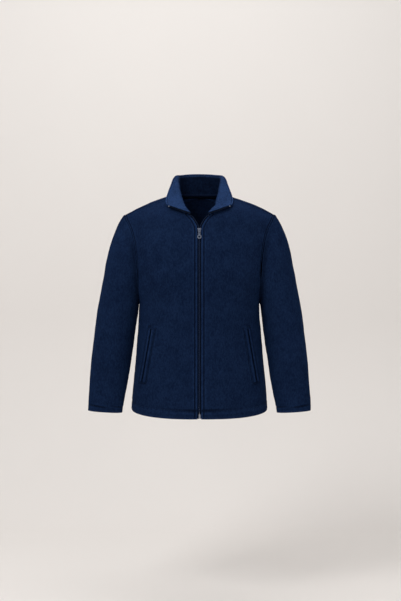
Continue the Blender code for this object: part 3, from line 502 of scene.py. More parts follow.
class Skin:
    """Outer face of one cloth piece: welded points, faces and distances to its edges."""

    def __init__(self, grids):
        """Each grid is its points, whether its faces turn over, and its distances."""
        points = np.concatenate([grid.reshape(-1, 3) for grid, _, _ in grids])
        _, first, inverse = np.unique(
            keys_of(points), axis=0, return_index=True, return_inverse=True
        )
        inverse = inverse.reshape(-1)
        self.points = points[first]
        self.facts = {
            name: np.concatenate([facts[name].reshape(-1) for _, _, facts in grids])[first]
            for name in grids[0][2]
        }
        self.indexes, faces, base = [], [], 0
        for grid, turned, _ in grids:
            rows, columns = grid.shape[:2]
            index = inverse[base: base + rows * columns].reshape(rows, columns)
            base += rows * columns
            quads = np.stack(
                [index[:-1, :-1], index[:-1, 1:], index[1:, 1:], index[1:, :-1]], axis=-1
            ).reshape(-1, 4)
            faces.append(quads[:, ::-1] if turned else quads)
            self.indexes.append(index)
        self.faces = np.concatenate(faces)
        self.normals = np.zeros_like(self.points)

    def face_normals(self):
        a, b, c, d = (self.points[self.faces[:, k]] for k in range(4))
        return np.cross(c - a, d - b)


def weld_normals(skins):
    """Normals of all skins, shared where their edges meet."""
    points = np.concatenate([skin.points for skin in skins])
    _, inverse = np.unique(keys_of(points), axis=0, return_inverse=True)
    inverse = inverse.reshape(-1)
    total = np.zeros((inverse.max() + 1, 3))
    base = 0
    for skin in skins:
        ids = inverse[base: base + len(skin.points)]
        face_normals = skin.face_normals()
        for k in range(4):
            np.add.at(total, ids[skin.faces[:, k]], face_normals)
        base += len(skin.points)
    total = unit(total)
    base = 0
    for skin in skins:
        skin.normals = total[inverse[base: base + len(skin.points)]]
        base += len(skin.points)


def underarm_places():
    return [UNDERARM + line / ARMHOLE_PITCH for line in EDGE_LINES[1:6]]


def front_places():
    hem = [d / ROW_PITCH for d in EDGE_LINES[:6]]
    sides = list(np.linspace(0.12, UNDERARM, 62)) + underarm_places()
    armhole = list(np.linspace(UNDERARM + 0.28, NECK_CORNER, 55))
    neck = [NECK_CORNER + d / NECK_PITCH for d in ZIP_LINES[1:]]
    neck += list(np.linspace(neck[-1], len(FRONT_ROWS) - 1 - 0.2, 14))[1:]
    neck += [len(FRONT_ROWS) - 1 - d / NECK_PITCH for d in EDGE_LINES[5::-1]]
    return hem + sides + armhole + neck


def back_places():
    hem = [d / ROW_PITCH for d in EDGE_LINES[:6]]
    sides = list(np.linspace(0.12, UNDERARM, 62)) + underarm_places()
    rest = list(np.linspace(UNDERARM + 0.28, len(BACK_ROWS) - 1 - 0.3, 86))
    rest += [len(BACK_ROWS) - 1 - d / NECK_PITCH for d in EDGE_LINES[:0:-1]]
    return sorted(set(hem + sides + rest + [float(NECK_CORNER), len(BACK_ROWS) - 1.0]))


def ease_rows(grid, places, right):
    """Cloth inward of the underarm, where the rows' ends turn a corner, flows smoothly."""
    up = arc_lengths(grid, axis=0)
    share = smooth_step(right, 1.5, 30) * (1 - smooth_step(np.abs(places - UNDERARM), 1.2, 2.2))
    step = np.gradient(up, axis=0)
    eased = grid.copy()
    for column in range(grid.shape[1]):
        along = up[:, column]
        pull = np.exp(-((along[:, None] - along) / EASE_REACH) ** 2) * step[:, column]
        pull /= pull.sum(1, keepdims=True)
        drift = along - pull @ along
        ahead = np.gradient(grid[:, column], along, axis=0)
        eased[:, column] = pull @ grid[:, column] + ahead * drift[:, None]
    return grid + (eased - grid) * share[..., None]


def panel(rows, places, near, count):
    """Grid of a panel with the distance of each point from its four edges."""
    lines = [resample(row_curve(rows, place), near, count, EDGE_LINES) for place in places]
    grid = np.array([line[0] for line in lines])
    left = np.array([line[1] for line in lines])
    right = np.array([line[2] for line in lines])
    places = np.array(places)[:, None] + 0 * left
    grid = ease_rows(grid, places, right)
    up = arc_lengths(grid, axis=0)
    corner = int(np.argmin(np.abs(places[:, 0] - NECK_CORNER)))
    past = np.abs(up - up[corner])
    return grid, places, left, right, up, up[-1] - up, past


def front_facts(places, left, right, up, down, past):
    """Distances from each point of a front to its edges and its stitch lines."""
    cornered = np.hypot(left, past)
    zip_side = np.where(places <= NECK_CORNER + 0.001, left, cornered)
    neck = np.where(places >= NECK_CORNER - 0.001, left, cornered)
    far = np.full_like(left, 99.0)
    armhole = np.where(places > UNDERARM + 0.25, right, far)
    stitch = np.minimum(np.abs(zip_side - ZIP_STITCH), np.abs(armhole - SEAM_STITCH))
    for line in HEM_STITCHES:
        stitch = np.minimum(stitch, np.abs(up - line))
    return {
        "seam": np.minimum(np.minimum(neck, right), down),
        "free": np.minimum(zip_side, up),
        "stitch": stitch,
        "hem": up,
        "calm": zip_side,
        "shoulder": down,
    }


def back_facts(places, left, right, up, down, past):
    """Distances from each point of the back to its edges and its stitch lines."""
    far = np.full_like(left, 99.0)
    neck = np.where(places >= NECK_CORNER - 0.001, left, np.hypot(left, past))
    armhole = np.where(places > UNDERARM + 0.25, right, far)
    stitch = np.abs(armhole - SEAM_STITCH)
    for line in HEM_STITCHES:
        stitch = np.minimum(stitch, np.abs(up - line))
    for line in SHOULDER_STITCHES:
        stitch = np.minimum(stitch, np.abs(down - line))
    return {
        "seam": np.minimum(np.minimum(neck, right), down),
        "free": up,
        "stitch": stitch,
        "hem": up,
        "calm": far,
        "shoulder": down,
    }


def sleeve_places():
    """Ring places at even distances down the outer line, closer at both ends."""
    dense = np.linspace(0, len(SLEEVE_RINGS) - 1, 601)
    outer = [(*ring.outer, 0.0) for ring in SLEEVE_RINGS]
    along = arc_lengths(np.array([through(outer, place) for place in dense]))
    foot = [along[-1] - line for line in EDGE_LINES[5::-1]]
    even = np.linspace(EDGE_LINES[6], foot[0], 118)[:-1]
    return np.interp(np.concatenate([EDGE_LINES[:6], even, foot]), along, dense)


def sleeve_facts(grid):
    up = arc_lengths(grid, axis=0)
    round_it = arc_lengths(grid, axis=1)
    round_it = np.minimum(round_it, round_it[:, -1:] - round_it)
    down = up[-1] - up
    far = np.full_like(up, 99.0)
    # Painted shade just below the armhole seam, full on its lower part and none at the shoulder
    armhole_shade_mask = np.exp(-((up - 5) / 16) ** 2) * smooth_step(-grid[..., 2], 90, 200)
    return {
        "seam": np.minimum(up, round_it),
        "free": down,
        "stitch": np.abs(down - CUFF_STITCH),
        "hem": down,
        "calm": far,
        "local_painted_light": ARMHOLE_SHADE * armhole_shade_mask,
    }


def collar_facts(grid, stations):
    left = arc_lengths(grid, axis=1)
    crests = np.array([
        through([station.crest for station in COLLAR_STATIONS], place) for place in stations
    ])
    rise = np.linalg.norm(crests - grid[:, 0], axis=1)[:, None]
    right = left[:, -1:] - left
    up = arc_lengths(grid, axis=0)
    stitch = np.minimum(np.abs(right - COLLAR_STITCH), np.abs(up - ZIP_STITCH))
    return {
        "seam": left,
        "free": np.minimum(right, up),
        "stitch": stitch,
        "hem": np.full_like(up, 99.0),
        "calm": up,
        "leaf": smooth_step(left - rise, -4.0, 5.0),
    }


def pocket_spots(points):
    """For points of a front: distance into the pocket's outline, from the slit, from its ends."""
    top, foot = np.array(POCKET_TOP), np.array(POCKET_FOOT)
    line = foot - top
    length = np.linalg.norm(line)
    line = line / length
    spot = np.abs(points[..., (0, 2)]) * (1, -1) - top
    down = spot @ line
    across = np.abs(spot @ np.array((-line[1], line[0])))
    inside = np.minimum(
        POCKET_BOX - across, np.minimum(down + POCKET_HEAD, length + POCKET_TAIL - down)
    )
    return inside, across, smooth_step(down, 0, 4) * smooth_step(length - down, 0, 4)


def painted_bands(distance, bands):
    """Bands of painted highlight and painted shade beside a line."""
    return sum(
        strength * np.exp(-((distance - place) / reach) ** 2) for place, reach, strength in bands
    )


def pocket_painted_light(points):
    """Painted light round a pocket: painted shade on its stitched outline with a painted highlight
    just outside it, and painted shade in its slit.
    """
    inside, across, slit = pocket_spots(points)
    lay = painted_bands(inside, PAINTED_LIGHT_BY_OUTLINE) * smooth_step(inside, -12, -6)
    return lay - slit * painted_bands(across, PAINTED_SHADE_BY_SLIT)


def pocket_ease(points):
    """Pocket welt's layers under a front: a raised field inside a stitched outline."""
    inside, across, slit = pocket_spots(points)
    raised = 1.0 * smooth_step(inside, 0.0, 5.0) - 0.9 * np.exp(-(inside / 2.4) ** 2)
    return raised - SLIT_DEPTH * slit * np.exp(-(across / 2.6) ** 2)


def neck_stations():
    """Stations along the neck, from the zip end to centre back, where the collar has a line."""
    fronts, backs = front_places(), back_places()
    behind = len(BACK_ROWS) - 1 + FRONT_STATIONS
    ahead = [place - NECK_CORNER for place in fronts if place >= NECK_CORNER - 0.001]
    return ahead + [behind - place for place in backs[-2::-1] if place >= NECK_CORNER - 0.001]


@functools.lru_cache(maxsize=None)
def cloth():
    """Every fleece piece's skin, with its folds and unevenness."""
    fronts, backs = front_places(), back_places()
    front = panel(FRONT_ROWS, fronts, ZIP_LINES, 58)
    back = panel(BACK_ROWS, backs, EDGE_LINES[:1], 60)
    front_edges, back_edges = front_facts(*front[1:]), back_facts(*back[1:])
    front_loop = front[0][np.array(fronts) >= UNDERARM - 0.001, -1]
    back_loop = back[0][np.array(backs) >= UNDERARM - 0.001, -1]
    sleeve = sleeve_rings(np.concatenate([front_loop, back_loop[-2::-1]]), sleeve_places())
    stations = neck_stations()
    collar = np.array([
        resample(collar_curve(place), EDGE_LINES, 22, EDGE_LINES)[0] for place in stations
    ])
    sleeve_edges, collar_edges = sleeve_facts(sleeve), collar_facts(collar, stations)
    # Painted shade and painted highlight round the pockets
    front_edges["local_painted_light"] = pocket_painted_light(front[0])
    skins = {
        "front_left": Skin([(front[0], False, front_edges)]),
        "front_right": Skin([(mirrored(front[0]), True, front_edges)]),
        "back": Skin([
            (back[0], True, back_edges), (mirrored(back[0]), False, back_edges)
        ]),
        "sleeve_left": Skin([(sleeve, True, sleeve_edges)]),
        "sleeve_right": Skin([(mirrored(sleeve), False, sleeve_edges)]),
        "collar": Skin([
            (collar, True, collar_edges), (mirrored(collar), False, collar_edges)
        ]),
    }
    weld_normals(list(skins.values()))
    for name, skin in skins.items():
        height = fold_height(skin.points, skin.normals, FOLDS)
        soft = SOFT_FOLD_RISE * fold_height(skin.points, skin.normals, SOFT_FOLDS)
        soft += wave_height(skin.points)
        if name.startswith("front"):
            soft += pocket_ease(skin.points)
        height += soft * smooth_step(skin.facts["calm"], 3, 34)
        seam = skin.facts["seam"]
        height += SEAM_RIDGE * np.sin(math.pi * np.clip(seam / SEAM_STITCH, 0, 1))
        pucker = np.array([noise.noise(Vector(point) / 9.0) for point in skin.points])
        near = np.exp(-seam / 7) + 0.7 * np.exp(-(skin.facts["stitch"] / 4) ** 2)
        height += 0.6 * pucker * near * smooth_step(skin.facts["calm"], 0, 12)
        skin.points = skin.points + skin.normals * height[:, None]
    weld_normals(list(skins.values()))
    return skins


def layer_depth(skin):
    """Thickness of a layer: hems and cuffs are turned up."""
    plain, turned = sizes().fleece / MM, sizes().hem / MM
    depth = sizes().hem_depth / MM
    return turned + (plain - turned) * smooth_step(skin.facts["hem"], depth - 0.8, depth + 0.8)


# --- Meshes -------------------------------------------------------------------------------

def add_mesh(name, points, faces, material):
    """New smooth object from points in millimetres and faces as lists of their numbers."""
    mesh = bpy.data.meshes.new(name)
    mesh.from_pydata((np.asarray(points) * MM).tolist(), [], list(faces))
    mesh.validate()
    mesh.shade_smooth()
    mesh.materials.append(material)
    item = bpy.data.objects.new(name, mesh)
    bpy.context.scene.collection.objects.link(item)
    return item


def closed_sheet(name, outer, inner, faces, material):
    """Thin solid between the two sides of a sheet."""
    count = len(outer)
    first = faces.reshape(-1)
    second = np.roll(faces, -1, axis=1).reshape(-1)
    border = ~np.isin(first * count + second, second * count + first)
    a, b = first[border], second[border]
    walls = np.stack([b, a, a + count, b + count], axis=1)
    every = np.concatenate([faces, faces[:, ::-1] + count, walls])
    return add_mesh(name, np.concatenate([outer, inner]), every.tolist(), material)


def grid_faces(rows, columns, closed=False):
    index = np.arange(rows * columns).reshape(rows, columns)
    if closed:
        index = np.concatenate([index, index[:, :1]], axis=1)
    return np.stack(
        [index[:-1, :-1], index[:-1, 1:], index[1:, 1:], index[1:, :-1]], axis=-1
    ).reshape(-1, 4)


def settle(item, slot, *nodes):
    """Let a new piece ride on the garment in place of its solids."""
    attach(item, "garment")
    if nodes:
        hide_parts(*nodes)
    return item


def painted_light_and_shade(skin):
    """Painted shade in stitch lines and seams, painted highlight on the ridges beside them and
    along free edges, plus the local painted light of the pockets and armholes.
    """
    facts = skin.facts
    lay = painted_bands(facts["stitch"], PAINTED_LIGHT_BY_STITCH) + painted_bands(facts["seam"], PAINTED_LIGHT_BY_SEAM)
    lay = np.maximum(lay, PAINTED_SHADE_DARKEST) + painted_bands(facts["free"], PAINTED_HIGHLIGHT_BY_EDGE)
    return lay + facts.get("local_painted_light", 0.0)


def cloth_piece(node_name, skin_name, material, slot, start=0.0, rounds=(1, 1)):
    """One layer of a skin; rounds says which of its two sides curve in at the edges."""
    skin = cloth()[skin_name]
    depth = layer_depth(skin)
    drop = EDGE_GROOVE * np.exp(-(skin.facts["stitch"] / 1.3) ** 2)
    for fact, radius in (("free", 1.15), ("seam", 1.0)):
        near = np.clip(radius - skin.facts[fact], 0, radius)
        drop = np.maximum(drop, radius - np.sqrt(radius ** 2 - near ** 2))
    outer = skin.points - skin.normals * (start + drop * rounds[0])[:, None]
    hidden = 0.35 if rounds == (1, 1) else rounds[1]
    inner = skin.points - skin.normals * (start + depth - drop * hidden)[:, None]
    if rounds[0]:
        skin.outer = outer
    if rounds[1]:
        skin.inner = inner
    item = closed_sheet(node_name + "_fleece", outer, inner, skin.faces, material)
    # Painted highlight and painted shade per point, at 0.6 strength on the inner side
    lay = item.data.attributes.new(PAINTED_LIGHT_AND_SHADE, "FLOAT", "POINT")
    shown = painted_light_and_shade(skin)
    lay.data.foreach_set("value", np.concatenate([shown, 0.6 * shown]).astype(np.float32))
    # The leaf share picks the painted-light colour of the turned-out leaf over the painted-shade
    # colour behind the neck
    if "leaf" in skin.facts:
        leaf = item.data.attributes.new(LEAF_SHARE, "FLOAT", "POINT")
        leaf.data.foreach_set("value", np.tile(skin.facts["leaf"], 2).astype(np.float32))
    return settle(item, slot, node_name)


# --- Sewing -------------------------------------------------------------------------------

def column_line(skin, index, column, side=1):
    """Line of points and normals down one column of a grid."""
    ids = index[:, column]
    points = skin.outer if side > 0 else skin.inner
    return points[ids], skin.normals[ids] * side


def level_line(skin, index, values, distance, side=1):
    """Line where a distance reaches a value, with one point in each column of a grid."""
    rows = np.arange(len(values))
    face = skin.outer if side > 0 else skin.inner
    points, normals = [], []
    for column in range(index.shape[1]):
        height = values[:, column]
        forward = height if height[-1] > height[0] else height[::-1]
        order = rows if height[-1] > height[0] else rows[::-1]
        at = float(np.interp(distance, forward, order))
        low = min(int(at), len(rows) - 2)
        share = at - low
        a, b = index[low, column], index[low + 1, column]
        points.append(face[a] * (1 - share) + face[b] * share)
        normals.append(skin.normals[a] * (1 - share) + skin.normals[b] * share)
    return np.array(points), unit(np.array(normals)) * side


def stitch_mesh(lines):
    """Points and faces of thread laid along lines, one short bead per stitch."""
    pitch, radius = sizes().stitch / MM, sizes().thread / MM / 2
    shares = np.array((0.0, 0.25, 0.5, 0.75, 1.0))
    arch = np.sin(math.pi * shares)
    all_points, all_faces, base = [], [], 0
    for points, normals in lines:
        along = arc_lengths(points)
        count = max(int(along[-1] / pitch), 1)
        first = (np.arange(count) + 0.1) * along[-1] / count
        at = first[:, None] + shares * 0.8 * pitch
        flat = at.reshape(-1)
        centre = at_lengths(points, along, flat)
        normal = unit(at_lengths(normals, along, flat))
        ahead = unit(at_lengths(points, along, flat + 0.2) - at_lengths(points, along, flat - 0.2))
        side = unit(np.cross(normal, ahead))
        rise = np.tile(-0.8 * radius + 1.5 * radius * arch, count)[:, None]
        thick = np.tile(radius * (0.35 + 0.65 * arch), count)[:, None]
        rings = [
            centre + normal * rise + thick * (side * math.cos(turn) + normal * math.sin(turn))
            for turn in np.linspace(0, 2 * math.pi, 6)[:-1]
        ]
        block = np.stack(rings, axis=1).reshape(count, 5, 5, 3)
        one = grid_faces(5, 5, closed=True)
        caps = np.array([[4, 3, 2, 1, 0], [20, 21, 22, 23, 24]])
        for _ in range(count):
            all_faces += (one + base).tolist()
            all_faces += (caps + base).tolist()
            base += 25
        all_points.append(block.reshape(-1, 3))
    return np.concatenate(all_points), all_faces


def sew(name, lines, slot="navy_fleece"):
    points, faces = stitch_mesh(lines)
    return settle(add_mesh(name, points, faces, thread_material()), slot)


# --- Finishes -----------------------------------------------------------------------------

def new_group(name, inputs, outputs):
    """Empty node group with named sockets, and its two ends."""
    group = bpy.data.node_groups.new(name, "ShaderNodeTree")
    for label, kind, value in inputs:
        socket = group.interface.new_socket(label, in_out="INPUT", socket_type=kind)
        socket.default_value = value
    for label, kind in outputs:
        group.interface.new_socket(label, in_out="OUTPUT", socket_type=kind)
    start = group.nodes.new("NodeGroupInput")
    end = group.nodes.new("NodeGroupOutput")
    return group, start, end


def node(tree, kind, **settings):
    made = tree.nodes.new(kind)
    for key, value in settings.items():
        setattr(made, key, value)
    return made


def maths(tree, operation, first, second):
    made = node(tree, "ShaderNodeMath", operation=operation)
    for slot, value in zip(made.inputs, (first, second)):
        if isinstance(value, (int, float)):
            slot.default_value = value
        else:
            tree.links.new(value, slot)
    return made.outputs[0]


def noise_node(tree, vector, scale, detail=2.0, roughness=0.5):
    made = node(tree, "ShaderNodeTexNoise")
    made.inputs["Scale"].default_value = scale
    made.inputs["Detail"].default_value = detail
    made.inputs["Roughness"].default_value = roughness
    tree.links.new(vector, made.inputs["Vector"])
    return made.outputs["Fac"]


@functools.lru_cache(maxsize=None)
def brushed_nap_with_painted_light():
    """Short brushed pile: clumps that catch the light and the nap's slow shading, scaled by the
    painted highlight and painted shade stored on the mesh.
    """
    group, start, end = new_group(
        "Brushed nap with painted light",
        [("Ground", "NodeSocketColor", (0.01, 0.02, 0.05, 1)),
         ("Tips", "NodeSocketColor", (0.02, 0.04, 0.09, 1)),
         ("Mottle", "NodeSocketFloat", 1.0)],
        [("Colour", "NodeSocketColor"), ("Height", "NodeSocketFloat"),
         ("Roughness", "NodeSocketFloat")],
    )
    place = node(group, "ShaderNodeTexCoord").outputs["Object"]
    lean = node(group, "ShaderNodeMapping")
    lean.inputs["Scale"].default_value = (1.0, 1.0, 0.55)
    group.links.new(place, lean.inputs["Vector"])
    leaning = lean.outputs["Vector"]
    pile = noise_node(group, leaning, 950, 3, 0.6)
    clumps = noise_node(group, leaning, 230, 4, 0.62)
    shading = noise_node(group, place, 34, 4, 0.62)
    broad = noise_node(group, place, 9, 2, 0.5)
    mixed = maths(group, "ADD", maths(group, "MULTIPLY", pile, 0.45),
                  maths(group, "MULTIPLY", clumps, 0.55))
    ramp = node(group, "ShaderNodeMapRange", interpolation_type="SMOOTHSTEP")
    ramp.inputs["From Min"].default_value = 0.34
    ramp.inputs["From Max"].default_value = 0.66
    group.links.new(mixed, ramp.inputs["Value"])
    slow = maths(group, "MULTIPLY", maths(group, "SUBTRACT", shading, 0.5), 1.25)
    wide = maths(group, "MULTIPLY", maths(group, "SUBTRACT", broad, 0.5), 0.5)
    slow = maths(group, "ADD", slow, wide)
    share = maths(group, "ADD", ramp.outputs["Result"], slow)
    share = maths(group, "MULTIPLY", share, start.outputs["Mottle"])
    mix = node(group, "ShaderNodeMix", data_type="RGBA")
    mix.clamp_factor = True
    group.links.new(share, mix.inputs[0])
    group.links.new(start.outputs["Ground"], mix.inputs[6])
    group.links.new(start.outputs["Tips"], mix.inputs[7])
    # Painted highlight and painted shade: the colour is scaled by one plus the painted light
    # attribute
    painted_light_scale = node(group, "ShaderNodeVectorMath", operation="SCALE")
    group.links.new(mix.outputs[2], painted_light_scale.inputs[0])
    lay = node(group, "ShaderNodeAttribute", attribute_name=PAINTED_LIGHT_AND_SHADE).outputs["Fac"]
    group.links.new(maths(group, "ADD", lay, 1.0), painted_light_scale.inputs["Scale"])
    group.links.new(painted_light_scale.outputs[0], end.inputs["Colour"])
    group.links.new(mixed, end.inputs["Height"])
    rough = maths(group, "ADD", maths(group, "MULTIPLY", clumps, -0.12), 0.98)
    group.links.new(rough, end.inputs["Roughness"])
    return group


@functools.lru_cache(maxsize=None)
def fine_weave():
    """Plain weave of fine yarns, as height and as light and dark yarns."""
    group, start, end = new_group(
        "Fine weave",
        [("Ground", "NodeSocketColor", (0.01, 0.02, 0.05, 1)),
         ("Yarns per metre", "NodeSocketFloat", 1800.0),
         ("Contrast", "NodeSocketFloat", 0.5)],
        [("Colour", "NodeSocketColor"), ("Height", "NodeSocketFloat")],
    )
    place = node(group, "ShaderNodeTexCoord").outputs["Object"]
    scaled = node(group, "ShaderNodeVectorMath", operation="SCALE")
    group.links.new(place, scaled.inputs[0])
    group.links.new(start.outputs["Yarns per metre"], scaled.inputs["Scale"])
    parts = node(group, "ShaderNodeSeparateXYZ")
    group.links.new(scaled.outputs[0], parts.inputs[0])
    across = maths(group, "SINE", maths(group, "ADD", parts.outputs[0], parts.outputs[1]), 0)
    along = maths(group, "SINE", parts.outputs[2], 0)
    height = maths(group, "MULTIPLY", maths(group, "MULTIPLY", across, along), 0.5)
    height = maths(group, "ADD", height, 0.5)
    fibre = noise_node(group, place, 1400, 2)
    shade = maths(group, "ADD", maths(group, "MULTIPLY", height, 0.7),
                  maths(group, "MULTIPLY", fibre, 0.6))
    bright = node(group, "ShaderNodeMix", data_type="RGBA", blend_type="MULTIPLY")
    group.links.new(start.outputs["Contrast"], bright.inputs[0])
    group.links.new(start.outputs["Ground"], bright.inputs[6])
    group.links.new(shade, bright.inputs[7])
    group.links.new(bright.outputs[2], end.inputs["Colour"])
    group.links.new(height, end.inputs["Height"])
    return group


def blank_material(name):
    material = bpy.data.materials.new(name)
    material.use_nodes = True
    tree = material.node_tree
    return material, tree, tree.nodes["Principled BSDF"]


def raise_surface(tree, shader, height, strength, distance):
    bump = node(tree, "ShaderNodeBump")
    bump.inputs["Strength"].default_value = strength
    bump.inputs["Distance"].default_value = distance
    tree.links.new(height, bump.inputs["Height"])
    tree.links.new(bump.outputs["Normal"], shader.inputs["Normal"])


def fleece_finish(name, ground, tips, mottle, sheen):
    material, tree, shader = blank_material(name)
    nap = node(tree, "ShaderNodeGroup", node_tree=brushed_nap_with_painted_light())
    nap.inputs["Ground"].default_value = (*ground, 1)
    nap.inputs["Tips"].default_value = (*tips, 1)
    nap.inputs["Mottle"].default_value = mottle
    tree.links.new(nap.outputs["Colour"], shader.inputs["Base Color"])
    tree.links.new(nap.outputs["Roughness"], shader.inputs["Roughness"])
    shader.inputs["Specular IOR Level"].default_value = 0.02
    shader.inputs["Sheen Weight"].default_value = sheen
    shader.inputs["Sheen Roughness"].default_value = 0.42
    shader.inputs["Sheen Tint"].default_value = (0.035, 0.13, 0.46, 1)
    raise_surface(tree, shader, nap.outputs["Height"], 0.9, 0.0014)
    return material, tree, shader


@functools.lru_cache(maxsize=None)
def fleece_material():
    return fleece_finish("navy_fleece_nap", colours().fleece, colours().tips, 1.0, 0.10)[0]


@functools.lru_cache(maxsize=None)
def collar_shaded_and_lit_material():
    """Inner layer of the collar: painted shade behind the neck, and painted light with stronger
    mottling on the turned-out leaf, as a darker and a lighter copy of one fleece.
    """
    material, tree, shader = fleece_finish(
        "navy_fleece_inside_shaded_and_lit", colours().inside, colours().tips, 0.35, 0.06
    )
    # Lighter copy of the fleece for the turned-out leaf: painted light, with brighter mottled tips
    nap = node(tree, "ShaderNodeGroup", node_tree=brushed_nap_with_painted_light())
    nap.inputs["Ground"].default_value = (*colours().leaf, 1)
    nap.inputs["Tips"].default_value = (*(1.9 * value for value in colours().leaf), 1)
    nap.inputs["Mottle"].default_value = 1.5
    leaf = node(tree, "ShaderNodeAttribute", attribute_name=LEAF_SHARE).outputs["Fac"]
    mix = node(tree, "ShaderNodeMix", data_type="RGBA")
    tree.links.new(leaf, mix.inputs[0])
    tree.links.new(shader.inputs["Base Color"].links[0].from_socket, mix.inputs[6])
    tree.links.new(nap.outputs["Colour"], mix.inputs[7])
    tree.links.new(mix.outputs[2], shader.inputs["Base Color"])
    return material


def woven_finish(name, ground, yarns, contrast, roughness, bump):
    material, tree, shader = blank_material(name)
    weave = node(tree, "ShaderNodeGroup", node_tree=fine_weave())
    weave.inputs["Ground"].default_value = (*ground, 1)
    weave.inputs["Yarns per metre"].default_value = yarns
    weave.inputs["Contrast"].default_value = contrast
    tree.links.new(weave.outputs["Colour"], shader.inputs["Base Color"])
    shader.inputs["Roughness"].default_value = roughness
    shader.inputs["Specular IOR Level"].default_value = 0.03
    raise_surface(tree, shader, weave.outputs["Height"], 0.6, bump)
    return material


@functools.lru_cache(maxsize=None)
def tape_material():
    return woven_finish("navy_woven_tape", colours().tape, 5200.0, 0.55, 0.72, 0.0003)


@functools.lru_cache(maxsize=None)
def neck_tape_material():
    return woven_finish("navy_neck_tape", colours().fleece, 5200.0, 0.55, 0.72, 0.0003)


@functools.lru_cache(maxsize=None)
def thread_material():
    return woven_finish("navy_sewing_thread", colours().thread, 9000.0, 0.35, 0.5, 0.0001)


@functools.lru_cache(maxsize=None)
def coil_material():
    """Satin nylon wire with a faint drawn grain."""
    material, tree, shader = blank_material("navy_nylon_coil")
    place = node(tree, "ShaderNodeTexCoord").outputs["Object"]
    grain = noise_node(tree, place, 700, 3)
    tint = node(tree, "ShaderNodeMix", data_type="RGBA")
    tree.links.new(grain, tint.inputs[0])
    tint.inputs[6].default_value = (*(0.6 * value for value in colours().coil), 1)
    tint.inputs[7].default_value = (*(1.4 * value for value in colours().coil), 1)
    tree.links.new(tint.outputs[2], shader.inputs["Base Color"])
    rough = maths(tree, "ADD", maths(tree, "MULTIPLY", grain, 0.2), 0.36)
    tree.links.new(rough, shader.inputs["Roughness"])
    shader.inputs["Specular IOR Level"].default_value = 0.08
    raise_surface(tree, shader, grain, 0.2, 0.0002)
    return material


@functools.lru_cache(maxsize=None)
def metal_material():
    """Plated metal with fine polishing marks."""
    material, tree, shader = blank_material("silver_plated_metal")
    place = node(tree, "ShaderNodeTexCoord").outputs["Object"]
    stretch = node(tree, "ShaderNodeMapping")
    stretch.inputs["Scale"].default_value = (1.0, 1.0, 0.12)
    tree.links.new(place, stretch.inputs["Vector"])
    marks = noise_node(tree, stretch.outputs["Vector"], 5200, 2)
    cloud = noise_node(tree, place, 420, 3)
    tint = node(tree, "ShaderNodeMix", data_type="RGBA")
    tree.links.new(cloud, tint.inputs[0])
    tint.inputs[6].default_value = (*(0.72 * value for value in colours().metal), 1)
    tint.inputs[7].default_value = (*(1.15 * value for value in colours().metal), 1)
    tree.links.new(tint.outputs[2], shader.inputs["Base Color"])
    shader.inputs["Metallic"].default_value = 1.0
    rough = maths(tree, "ADD", maths(tree, "MULTIPLY", marks, 0.22), 0.2)
    tree.links.new(rough, shader.inputs["Roughness"])
    raise_surface(tree, shader, marks, 0.12, 0.0001)
    return material


# --- Zip ----------------------------------------------------------------------------------

def zip_edge():
    """Zip edge of the left front and the collar: points, cloth normals, way off the cloth.

    The first lines lie on the front, up to the neck corner, and the rest on the collar.
    """
    skins = cloth()
    front, collar = skins["front_left"], skins["collar"]
    rows = [k for k, place in enumerate(front_places()) if place <= NECK_CORNER + 0.001]
    ids = front.indexes[0][rows, 0]
    leaf = collar.indexes[0][0, 1:]
    points = np.concatenate([front.points[ids], collar.points[leaf]])
    normals = np.concatenate([front.normals[ids], collar.normals[leaf]])
    ahead = np.gradient(points, arc_lengths(points), axis=0)
    away = unit(np.cross(normals, ahead))
    along = arc_lengths(points)
    soft = np.array([
        (away * np.exp(-((along - spot) / 5.0) ** 2)[:, None]).sum(0) for spot in along
    ])
    return points, normals, unit(soft), len(ids)


def tape_depth(points, corner):
    """From the cloth's outer face to the tape's: behind a front, level with a collar's core."""
    foot = smooth_step(-points[:, 2], 640, 705)
    depth = sizes().fleece / MM + 0.3 + (sizes().hem - sizes().fleece) / MM * foot
    between = sizes().fleece / MM - 0.15
    share = smooth_step(np.arange(len(points)), corner - 14, corner)
    return depth * (1 - share) + between * share


def zip_tapes():
    points, normals, away, corner = zip_edge()
    depth = tape_depth(points, corner)[:, None]
    keep = points[:, 2] > TAPE_FOOT_Z
    near = 0.3 * smooth_step(np.arange(len(points)), corner - 14, corner)
    reaches = [5.7, 5.2, 4.2, 2.8, 1.4]
    columns = [points + away * reach - normals * depth for reach in reaches]
    columns.append(points + away * near[:, None] - normals * depth)
    shown = np.stack(columns, axis=1)[keep]
    front = cloth()["front_left"]
    hidden = [shown[: corner - int((~keep).sum()), -1]]
    for line in (2.0, 6.8, 13.0):
        ids = front.indexes[0][:corner, ZIP_LINES.index(line)][keep[:corner]]
        hidden.append(front.points[ids] - front.normals[ids] * depth[:corner][keep[:corner]])
    hidden = np.stack(hidden, axis=1)
    skin = Skin([(shown, False, {}), (hidden, False, {})])
    weld_normals([skin])
    for hand, flip in (("left", False), ("right", True)):
        outer = skin.points
        inner = skin.points - skin.normals * 0.55
        faces = skin.faces
        if flip:
            outer, inner, faces = mirrored(outer), mirrored(inner), faces[:, ::-1]
        item = closed_sheet("zip_tape_woven_" + hand, outer, inner, faces, tape_material())
        settle(item, "navy_tape", "zip_tape_" + hand)
    return points, normals, away, depth[:, 0]


